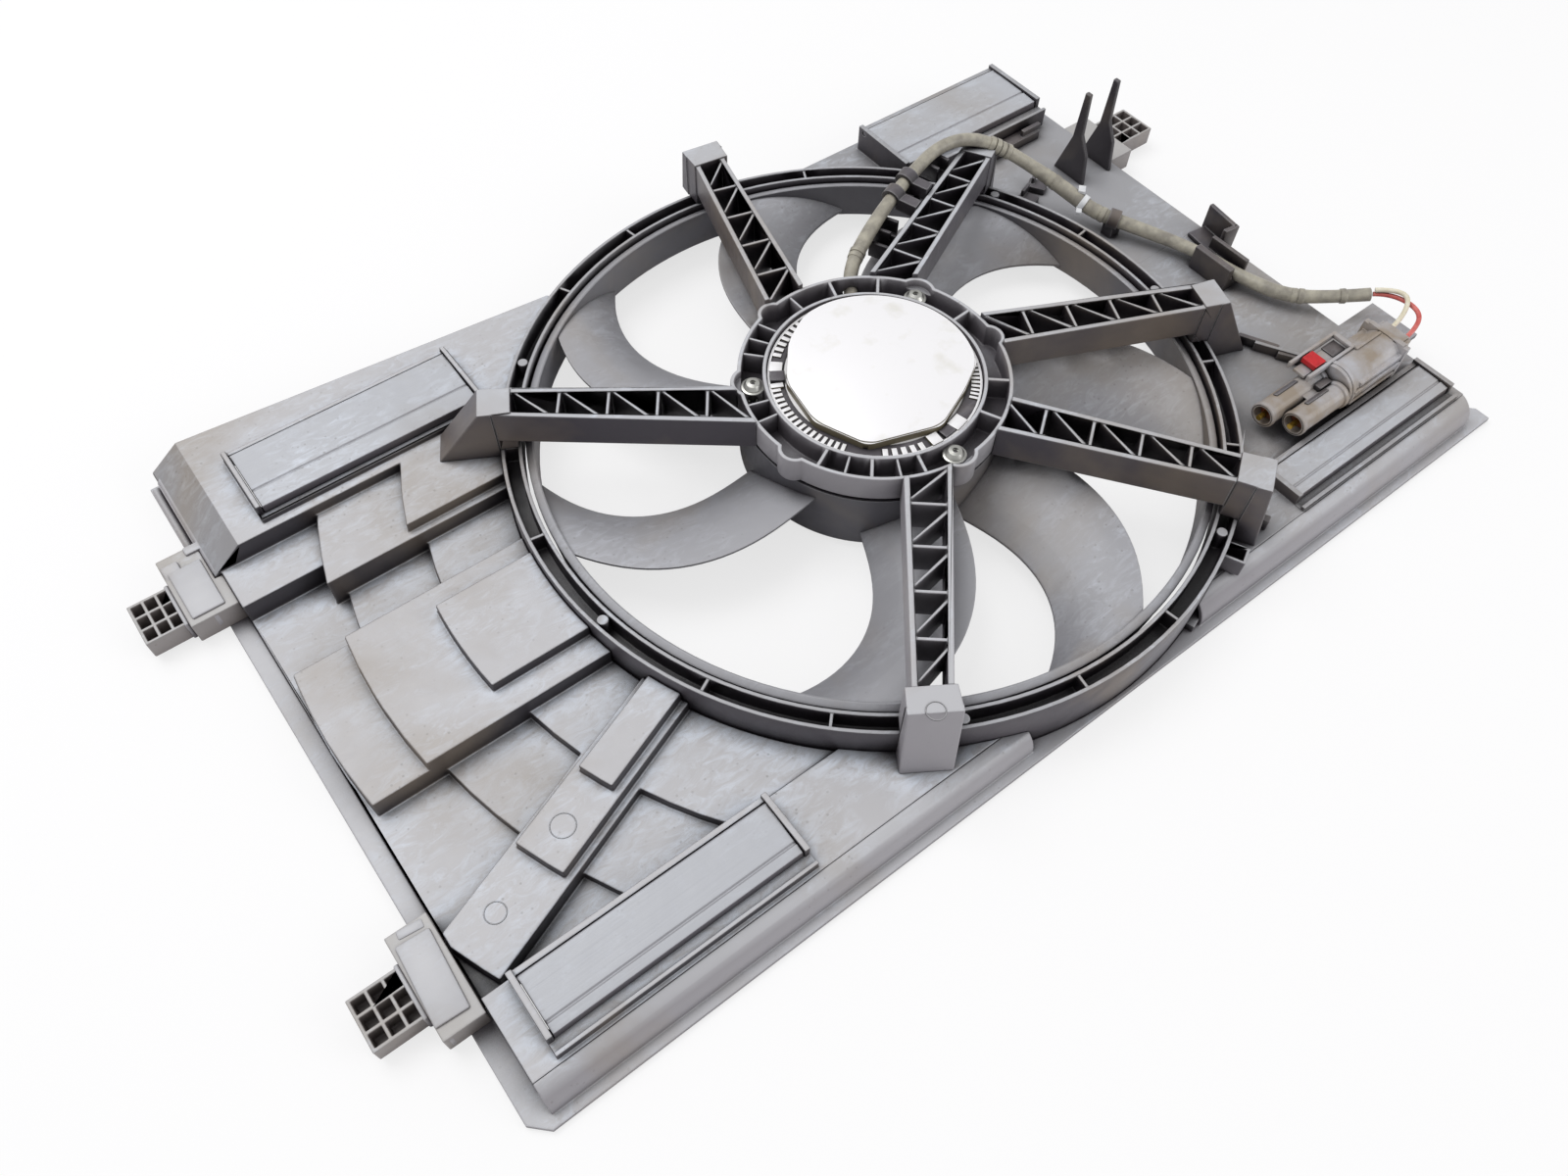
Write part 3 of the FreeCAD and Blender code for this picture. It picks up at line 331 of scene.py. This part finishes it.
def lathe(bm, profile, centre, axis=(0, 0, 1), segments=40):
    """Spins a profile of radius and height round an axis; both in mm."""
    turn = Vector(axis).to_track_quat("Z", "Y").to_matrix().to_4x4()
    place_it = Matrix.Translation(centre) @ turn
    spots = [bm.verts.new((r, 0, h)) for r, h in profile]
    edges = [bm.edges.new(pair) for pair in zip(spots, spots[1:])]
    made = bmesh.ops.spin(bm, geom=spots + edges, cent=(0, 0, 0), axis=(0, 0, 1), angle=2 * math.pi,
                          steps=segments, use_merge=True)
    around = {v for v in made["geom_last"] if isinstance(v, bmesh.types.BMVert)} | set(spots)
    reached = set()
    todo = list(around)
    while todo:
        vert = todo.pop()
        if vert.is_valid and vert not in reached:
            reached.add(vert)
            todo += [edge.other_vert(vert) for edge in vert.link_edges]
    bmesh.ops.transform(bm, matrix=place_it, verts=list(reached))


def ring(bm, r0, r1, z0, z1):
    """Flat ring round the fan's axis."""
    lathe(bm, ((r0, z0), (r1, z0), (r1, z1), (r0, z1), (r0, z0)), (0, 0, 0), segments=72)


def raise_faces(bm, faces, height):
    """Makes a solid of faces, up by a height in mm."""
    top = bmesh.ops.extrude_face_region(bm, geom=faces)
    verts = [v for v in top["geom"] if isinstance(v, bmesh.types.BMVert)]
    bmesh.ops.translate(bm, vec=(0, 0, height), verts=verts)


SMOOTH_BELOW, ROUND_ABOVE = 35.0, 40.0      # angles between faces, in degrees


def make_piece(name, bm, finish, body="shroud", round_by=0.0):
    """Finishes a bmesh drawn in mm from the fan's axis as a piece of the object."""
    if round_by:
        least = math.radians(ROUND_ABOVE)
        sharp = [e for e in bm.edges if e.is_manifold and e.calc_face_angle(0.0) > least]
        bmesh.ops.bevel(bm, geom=sharp, offset=round_by, offset_type="OFFSET", segments=2, profile=0.5,
                        affect="EDGES", clamp_overlap=True, material=-1)
    bmesh.ops.remove_doubles(bm, verts=bm.verts, dist=0.0005)
    bmesh.ops.recalc_face_normals(bm, faces=bm.faces)
    bmesh.ops.transform(bm, matrix=Matrix.Translation(FAN) @ Matrix.Scale(0.001, 4), verts=bm.verts)
    mesh = bpy.data.meshes.new(name)
    bm.to_mesh(mesh)
    bm.free()
    mesh.shade_smooth()
    mesh.set_sharp_from_angle(angle=math.radians(SMOOTH_BELOW))
    mesh.materials.append(finish)
    made = bpy.data.objects.new(name, mesh)
    bpy.context.scene.collection.objects.link(made)
    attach(made, body)
    return made


# Motor end --------------------------------------------------------------------------------------
END_RIM_TOP, END_FACE_TOP = 57.0, 61.5
# angle and distance from the axis of the raised face's corners
END_FACE = ((96, 55.5), (80, 56.2), (66, 56.6), (52, 56.9), (38, 57.0), (24, 57.1), (10, 57.2), (-4, 57.0),
            (-18, 56.4), (-31, 55.6), (-54, 49.2), (-87, 51), (-134, 53), (-169, 50), (154, 49.2),
            (120, 51))
# first and last angle of each row of teeth, and its pitch
VENT_ARCS = ((101, 133, 4.6), (156, 213, 3.8), (236, 261, 5.2), (-54, 10, 3.0))
# angle and width of the lugs between the vents
VENT_LUGS = ((138.5, 7.0), (153.0, 3.0), (265.5, 6.5), (284.0, 9.0))


def motor_end():
    """Dark ring painted as the shade in the vent slots, pale vent teeth, rolled skin of the raised face and
    two rubber grommets.
    """
    bm = bmesh.new()
    # painted shade: a dark ring under the teeth stands for the shade in the vent slots
    ring(bm, 49.0, 57.6, END_RIM_TOP + 0.04, END_RIM_TOP + 0.25)
    make_piece("motor_vent_slot_shade", bm, BLACK_TRIM)
    bm = bmesh.new()
    for start_angle, end_angle, pitch in VENT_ARCS:
        count = int((end_angle - start_angle) / pitch)
        for k in range(count + 1):
            angle = start_angle + k * pitch
            block(bm, polar(54.6, angle, END_RIM_TOP + 0.55), (5.4, 0.55 * pitch, 0.9), angle)
    ring(bm, 56.6, 57.9, END_RIM_TOP + 0.1, END_RIM_TOP + 1.1)
    for angle, wide in VENT_LUGS:
        block(bm, polar(53.5, angle, END_RIM_TOP + 0.9), (7.0, wide, 1.6), angle)
    make_piece("motor_vent_teeth", bm, FINISH["motor_end_metal"], round_by=0.12)

    bm = bmesh.new()
    outline = [Vector(polar(r - 0.4, angle)) for angle, r in END_FACE]
    skin = bm.faces.new([bm.verts.new((v.x, v.y, END_RIM_TOP + 1.2)) for v in outline])
    bmesh.ops.bevel(bm, geom=list(skin.verts), offset=6.0, offset_type="OFFSET", segments=6, profile=0.5,
                    affect="VERTICES", clamp_overlap=True, material=-1)
    raise_faces(bm, bm.faces[:], END_FACE_TOP - END_RIM_TOP - 0.3)
    make_piece("motor_end_skin", bm, FINISH["motor_end_metal"], round_by=0.6)

    bm = bmesh.new()
    block(bm, polar(52.5, 146.8, END_RIM_TOP + 1.6), (8.0, 7.0, 3.0), 146.8)
    block(bm, polar(53.5, -85.0, END_RIM_TOP + 1.0), (6.0, 7.5, 1.8), -85.0)
    make_piece("motor_end_grommets", bm, BLACK_TRIM, round_by=0.4)


SCREW_R, SCREW_ANGLES, SCREW_HEAD = 66.0, (150.0, 30.0, -91.0), 55.6
SCREW_FLANGE = ((2.0, 0.05), (6.4, 0.05), (6.4, 0.7), (5.9, 1.0), (5.3, 1.1), (5.3, 1.65), (2.0, 1.65),
                (2.0, 0.05))
LOBE_R, NOTCH_R, RECESS_Z = 1.5, 1.05, 2.42


def motor_screws():
    """Flanges of the motor's screws, and dark six-lobed stars painted as the shade in their recesses."""
    bm = bmesh.new()
    for angle in SCREW_ANGLES:
        centre = Vector(polar(SCREW_R, angle, SCREW_HEAD))
        lathe(bm, SCREW_FLANGE, centre, segments=32)
    make_piece("motor_screw_flanges", bm, FINISH["zinc_plated_steel"])
    # painted shade: dark six-lobed stars in the screw recesses
    bm = bmesh.new()
    for angle in SCREW_ANGLES:
        centre = Vector(polar(SCREW_R, angle, SCREW_HEAD + RECESS_Z))
        spots = [centre + Vector(polar(LOBE_R if k % 2 else NOTCH_R, 30 * k)) for k in range(12)]
        raise_faces(bm, [bm.faces.new([bm.verts.new(spot) for spot in spots])], 0.2)
    make_piece("motor_screw_recess_shade", bm, BLACK_TRIM)


WEB_ANGLES = (92.0, 114.0, 123.5, 133.0, 163.0, 173.0, 218.0, 241.0)
WEB_R, WEB_Z, WEB_SIZE = 66.2, 53.1, (11.8, 1.2, 13.4)


def carrier_webs():
    """The carrier's thin webs between its lobes, where the solid ring has none."""
    bm = bmesh.new()
    for angle in WEB_ANGLES:
        block(bm, polar(WEB_R, angle, WEB_Z), WEB_SIZE, angle)
    make_piece("carrier_webs", bm, LIT_SIDES, round_by=0.25)


motor_end()
motor_screws()
carrier_webs()


# Moulded marks and small ribs -------------------------------------------------------------------
# distance and angle from the fan's axis, height, and the mark's own radius
EJECTOR_MARKS = ((284.0, -158.5, 22.0, 6.0), (206.0, -122.3, 64.0, 4.6), (330.0, -159.0, 16.0, 5.0))


def moulded_marks():
    """Round marks of the ejector pins, a little proud of the plates, and beads beside the high plate."""
    bm = bmesh.new()
    for r, angle, z, size in EJECTOR_MARKS:
        lathe(bm, ((size - 0.35, -0.1), (size + 0.35, -0.1), (size + 0.2, 0.28), (size - 0.2, 0.28),
                   (size - 0.35, -0.1)), polar(r, angle, z), segments=36)
    make_piece("ejector_marks", bm, FINISH["shroud_nylon"])
    bm = bmesh.new()
    rod(bm, (-331.5, 121.5, 14.0), (-331.5, 197.5, 14.0), 5.2, 28)
    rod(bm, (-339.0, 120.0, 4.2), (-339.0, 204.0, 4.2), 2.4, 20)
    make_piece("side_beads", bm, LIT_SIDES, round_by=0.9)


# centre, size, turn and tilt of each block
PIN_BLOCKS = (
    # far left block: raised middle, sloping shoulder and a web to the plate
    ((-346, 118, 17.4), (17, 33, 1.6)),
    ((-352, 134, 15.2), (9, 12, 5.0), 0, 18),
    ((-340, 100, 12.0), (12, 3.0, 9.0), 8),
    ((-338, 143, 15.5), (9, 5.5, 5.5)),
    # near left block: raised pad and two ears
    ((-343, -127, 17.5), (16, 40, 1.8), -3),
    ((-346, -150, 10.5), (9, 5, 9), 12),
    ((-341, -103, 12.0), (12, 4.5, 11), -6),
    # collars where the tabs start
    ((-358.2, 116.5, 9.0), (2.4, 29.0, 13.0)),
    ((-353.2, -126.0, 9.0), (2.4, 28.0, 13.0)),
)


def pin_details():
    """Shoulders, webs and lips of the locating blocks."""
    bm = bmesh.new()
    for spec in PIN_BLOCKS:
        block(bm, *spec)
    make_piece("locating_block_pads", bm, LIT_SIDES, round_by=0.9)


# places and turns of the lead's rests beside the third spoke's post
LEAD_RESTS = ((203, 84, 20), (217, 90, 32))
PLATE_BLOCKS = (
    # cradle's hook at the panel's right edge
    ((277.5, -12, 29.0), (3.0, 24, 18), -8),
    ((272.0, -23, 29.0), (11, 3.0, 18), -8),
    ((270.0, -12, 21.5), (15, 22, 2.6), -8),
    # bar and ledge beside the fourth post
    ((223, -92, 23.0), (3.0, 24, 6.2), 28),
    ((231, -113, 22.5), (20, 3.2, 5.5), -58),
    # stop beside the fifth post
    ((121, -178, 23.5), (4.5, 12, 7.5), 26),
    # block under the far flap's free edge
    ((232, 132, 23.0), (48, 8.5, 6.4), 1),
    ((213, 130.5, 27.5), (9, 6.0, 7.0), 1),
    ((249, 131, 28.0), (16, 3.0, 5.0), 1),
)
# places and turns of the open brackets that hold the lead along the third spoke
SPOKE_BRACKETS = ((83, 92, 52, 26), (78, 84, 48, 26), (112, 105, 56, 22), (139, 112, 60, 16))


def small_brackets():
    """Rests, hooks and stops moulded on the right plates, and brackets along the third spoke."""
    bm = bmesh.new()
    for x, y, turn in LEAD_RESTS:
        block(bm, (x, y, 22.2), (9, 12, 4.6), turn)
        block(bm, (x + 1, y + 4.5, 26.0), (9, 2.2, 6.0), turn)
    for spec in PLATE_BLOCKS:
        block(bm, *spec)
    make_piece("plate_brackets", bm, BLACK_TRIM, round_by=0.6)
    bm = bmesh.new()
    for x, y, z, turn in SPOKE_BRACKETS:
        for side in (-1, 1):
            offset = Matrix.Rotation(math.radians(turn), 3, "Z") @ Vector((side * 5.5, 0, 0))
            block(bm, Vector((x, y, z)) + offset, (2.2, 15, 9), turn)
        block(bm, (x, y, z - 5.0), (13, 15, 2.2), turn)
    make_piece("spoke_cable_brackets", bm, BLACK_TRIM, round_by=0.5)


def ring_foot():
    """Weld fillet where the ring's foot meets the near flange."""
    bm = bmesh.new()
    block(bm, (65.5, -193.9, 4.6), (26.0, 5.0, 6.4), 18.0)
    make_piece("ring_foot_fillet", bm, RING, round_by=0.4)


moulded_marks()
pin_details()
small_brackets()
ring_foot()


# Connector --------------------------------------------------------------------------------------
PLUG_Y, PLUG_Z, PLUG_FRONT, PLUG_BACK = -143.0, 34.0, 218.0, 262.0
BARRELS = ((170.0, -135.0), (179.0, -149.5))        # front end and middle of each barrel
ALONG_X = (1, 0, 0)
# turned profiles: radius and height of each corner
MOUTH_HOOP = ((5.5, 0.0), (7.0, 0.0), (7.45, 0.6), (7.45, 2.6), (7.05, 3.2), (5.5, 3.2), (5.5, 0.0))
ROOT_HOOP = ((7.0, 0.0), (8.2, 0.3), (8.2, 3.0), (7.0, 3.4), (7.0, 0.0))
WIRE_SEAL = ((1.55, 0.0), (3.4, 0.0), (3.4, 1.2), (2.8, 1.6), (2.8, 2.6), (1.55, 2.6), (1.55, 0.0))
MOUTH_SEAL = ((1.8, 0.0), (5.4, 0.0), (5.4, 1.4), (4.6, 2.0), (1.8, 2.0), (1.8, 0.0))


def connector_details():
    """Ribs, hoops, latch frame and mouths of the two-pole fan plug."""
    y, z = PLUG_Y, PLUG_Z
    bm = bmesh.new()
    for x, by in BARRELS:
        lathe(bm, MOUTH_HOOP, (x, by, z), axis=ALONG_X, segments=36)
        lathe(bm, ROOT_HOOP, (PLUG_FRONT - 4.0, by, z), axis=ALONG_X, segments=36)
    # latch frame round the lock, and its bridge
    for side in (-1, 1):
        block(bm, (PLUG_FRONT + 2.0, y + 13 + side * 6.6, z + 11.6), (40, 1.8, 4.2))
    block(bm, (PLUG_FRONT + 21.0, y + 13, z + 12.6), (3.0, 14.5, 2.6))
    # body's long ribs
    for dy, dz, reach in ((14.2, 2.0, 38), (-13.6, 4.0, 40), (-13.6, -4.0, 40), (4.0, 13.2, 22)):
        block(bm, (PLUG_BACK - reach / 2 - 1, y + dy, z + dz), (reach, 1.6, 1.8))
    # rear flange: frame and chamfered corners
    block(bm, (PLUG_BACK + 1.8, y + 1, z + 13.1), (3.4, 24, 1.4))
    block(bm, (PLUG_BACK + 9.0, y + 1, z + 9.4), (9.6, 16, 1.4))
    make_piece("connector_ribs", bm, FINISH["connector_plastic"], round_by=0.35)
    bm = bmesh.new()
    for dy in (-5, 5):
        lathe(bm, WIRE_SEAL, (PLUG_BACK + 13.9, y + 1 + dy, z + 3), axis=ALONG_X, segments=24)
    for x, by in BARRELS:
        lathe(bm, MOUTH_SEAL, (x + 6.0, by, z), axis=ALONG_X, segments=28)
    make_piece("connector_wire_seals", bm, FINISH["orange_rubber"])
    # painted shade: dark blocks in the slots on the barrels, between the barrels and inside the latch frame
    bm = bmesh.new()
    for x, by in BARRELS:
        block(bm, (x + 20, by + 3.0, z + 6.75), (18, 2.6, 0.9), 0, -24)
    block(bm, (PLUG_FRONT - 8, (BARRELS[0][1] + BARRELS[1][1]) / 2, z + 5.4), (10, 4.0, 3.6))
    block(bm, (PLUG_FRONT + 14.0, y + 13.2, z + 10.4), (11, 8.5, 0.9))
    make_piece("connector_slot_shade", bm, BLACK_TRIM, round_by=0.2)


connector_details()


# Motor lead -------------------------------------------------------------------------------------
LEAD = (
    (27.6, 51.6, 48.5), (37, 67, 50), (49, 79, 53), (66, 88, 57), (92, 100, 61), (120, 109, 66),
    (145, 115, 69.5), (166, 110, 69.5), (182, 98, 63), (198, 84, 51), (211, 64, 40), (219, 42, 32),
    (235, 15, 29), (250, -18, 27.5), (254, -50, 27.5), (262, -78, 28.5), (280, -97, 32), (296, -111, 36),
)


def routed_curve(name, points, radius):
    """Cord along a smooth line through the part's own route."""
    curve = bpy.data.curves.new(name, "CURVE")
    curve.dimensions = "3D"
    line = curve.splines.new("NURBS")
    line.points.add(len(points) - 1)
    for spot, point in zip(line.points, points):
        spot.co = (*place(*point), 1.0)
    line.order_u = 3
    line.use_endpoint_u = True
    curve.resolution_u = 10
    curve.bevel_depth = radius
    curve.bevel_resolution = 5
    curve.use_fill_caps = True
    piece = bpy.data.objects.new(name, curve)
    bpy.context.scene.collection.objects.link(piece)
    return piece


LEAD_RADIUS, WIRE_RADIUS = 0.0040, 0.0014
# where tape and wear change the sleeve's thickness: route point and share of the radius
SWOLLEN = {2: 1.06, 3: 1.15, 6: 0.96, 10: 1.22, 11: 1.12, 12: 1.08, 13: 0.95, 15: 1.10, 16: 0.94}
lead = routed_curve("motor_lead_sleeve", LEAD, LEAD_RADIUS)
for k, radius in SWOLLEN.items():
    lead.data.splines[0].points[k].radius = radius
dress(lead, "lead_sheath", "shroud", ["motor_lead"])


def wire_route(offset, rise):
    """Route of a bare wire from the sleeve's end into the plug."""
    y, z = PLUG_Y + 1 + offset, PLUG_Z + 3
    return ((297, -112, 36.5 + rise), (304, -120, 39 + rise), (303, y + 6, 41 + rise), (288, y, z),
            (PLUG_BACK + 10, y, z))


for wire_name, offset, rise in (("wire_red", -5.0, 0.0), ("wire_white", 5.0, 3.2)):
    wire = routed_curve(wire_name + "_insulation", wire_route(offset, rise), WIRE_RADIUS)
    dress(wire, SLOT_OF[wire_name], "shroud", [wire_name])


def lead_line():
    """Points along the lead's own smooth line."""
    curve = lead.data.copy()
    curve.bevel_depth = 0.0
    curve.use_fill_caps = False
    bare = bpy.data.objects.new("line", curve)
    mesh = bpy.data.meshes.new_from_object(bare)
    spots = [v.co.copy() for v in mesh.vertices]
    bpy.data.objects.remove(bare)
    bpy.data.meshes.remove(mesh)
    return spots


def on_lead(spots, share):
    """Number, place in mm and direction of the spot at a share of the lead."""
    index = int(share * (len(spots) - 3)) + 1
    along = (spots[index + 1] - spots[index - 1]).normalized()
    return index, (spots[index] - FAN) * 1000, along


# share of the lead, turns of tape, and the tape's width in mm
TAPES = ((0.11, 2, 4.5), (0.47, 4, 5.0), (0.57, 3, 5.0), (0.66, 3, 5.0), (0.93, 2, 5.0), (0.985, 1, 5.0))
TIE_SHARE, TIE_TURN = 0.632, 40.0
TIE_LOOP = ((4.4, 0.0), (5.6, 0.1), (5.6, 3.6), (4.4, 3.7), (4.4, 0.0))


def lead_wraps():
    """Turns of tape where the sleeve is held or mended, and a cable tie."""
    spots = lead_line()
    bm = bmesh.new()
    for share, turns, width in TAPES:
        index, spot, along = on_lead(spots, share)
        for k in range(turns):
            reach = 4.45 + 0.18 * ((k * 7 + index) % 3)
            lathe(bm, ((3.2, 0.0), (reach, 0.2), (reach + 0.10, width * 0.6), (3.2, width), (3.2, 0.0)),
                  spot + along * (k - turns / 2) * width * 0.8, axis=along, segments=24)
    make_piece("lead_tape", bm, FINISH["lead_sheath"])
    bm = bmesh.new()
    _, spot, along = on_lead(spots, TIE_SHARE)
    lathe(bm, TIE_LOOP, spot, axis=along, segments=28)
    block(bm, spot + Vector((2.5, 3.0, 5.0)), (6.0, 4.5, 4.0), TIE_TURN)
    block(bm, spot + Vector((-5.5, -4.5, -1.5)), (6.0, 3.6, 2.0), TIE_TURN)
    make_piece("lead_ties", bm, FINISH["tie_nylon"], round_by=0.3)


lead_wraps()


# Studio -----------------------------------------------------------------------------------------
# name, place and size in metres, and power in watts of each soft lamp
LAMPS = (("key", (-0.5, 0.9, 1.9), 1.4, 22.0), ("fill", (1.1, -1.5, 1.0), 1.2, 9.0))
SKY_STRENGTH, TABLE_GLOW, TABLE_HALF, TABLE_TOP = 0.55, 0.72, 3.0, -0.0004
# the frame's width and the focal length share one unit; the sensor is in mm
FRAME_WIDTH, FOCAL_LENGTH, SENSOR = 1600, 1201.7, 36.0
EYE_AT = (-313.18, -316.76, 524.90)
EYE_RIGHT = Vector((0.795926, -0.605138, 0.018721))
EYE_DOWN = Vector((-0.499085, -0.673363, -0.545390))
EYE_AHEAD = Vector((0.342641, 0.424730, -0.838005))


def studio():
    """Plain pale floor, soft light from above and the left, and the camera."""
    scene = bpy.context.scene
    scene.view_settings.view_transform = "Standard"
    world = bpy.data.worlds.new("studio")
    scene.world = world
    world.use_nodes = True
    tree = world.node_tree
    rays = node(tree, "LightPath")
    seen = maths(tree, "MAXIMUM", rays.outputs["Is Camera Ray"], rays.outputs["Is Transmission Ray"])
    sky = node(tree, "Background", {"Color": (1, 1, 1, 1), "Strength": SKY_STRENGTH})
    white = node(tree, "Background", {"Color": (1, 1, 1, 1), "Strength": 1.0})
    mixed = node(tree, "MixShader", {0: seen, 1: sky.outputs[0], 2: white.outputs[0]})
    tree.links.new(mixed.outputs[0], tree.nodes["World Output"].inputs["Surface"])

    for name, spot, size, power in LAMPS:
        lamp = bpy.data.lights.new(name, "AREA")
        lamp.size = size
        lamp.energy = power
        holder = bpy.data.objects.new(name, lamp)
        holder.location = spot
        holder.rotation_euler = (-Vector(spot)).to_track_quat("-Z", "Y").to_euler()
        scene.collection.objects.link(holder)

    bm = bmesh.new()
    bmesh.ops.create_grid(bm, x_segments=2, y_segments=2, size=TABLE_HALF)
    mesh = bpy.data.meshes.new("floor")
    bm.to_mesh(mesh)
    bm.free()
    floor = bpy.data.objects.new("floor", mesh)
    floor.location.z = TABLE_TOP
    scene.collection.objects.link(floor)
    material, floor_tree, surface = start("white_table", Base_Color=srgb("#fbfafc"), Roughness=0.9)
    # a white table, overexposed: it glows a little for the eye and keeps its shadows
    glow = node(floor_tree, "Emission", {"Color": (1, 1, 1, 1), "Strength": 1.0})
    ray = node(floor_tree, "LightPath")
    share = maths(floor_tree, "MULTIPLY", ray.outputs["Is Camera Ray"], TABLE_GLOW)
    table = node(floor_tree, "MixShader", {0: share, 1: surface.outputs[0], 2: glow.outputs[0]})
    floor_tree.links.new(table.outputs[0], floor_tree.nodes["Material Output"].inputs["Surface"])
    mesh.materials.append(material)

    camera = bpy.data.cameras.new("camera")
    camera.sensor_width = SENSOR
    camera.lens = FOCAL_LENGTH / FRAME_WIDTH * SENSOR
    camera.clip_start, camera.clip_end = 0.05, 20.0
    eye = bpy.data.objects.new("camera", camera)
    turn = Matrix((EYE_RIGHT, -EYE_DOWN, -EYE_AHEAD)).transposed().to_4x4()
    eye.matrix_world = Matrix.Translation(place(*EYE_AT)) @ turn
    scene.collection.objects.link(eye)
    scene.camera = eye


studio()
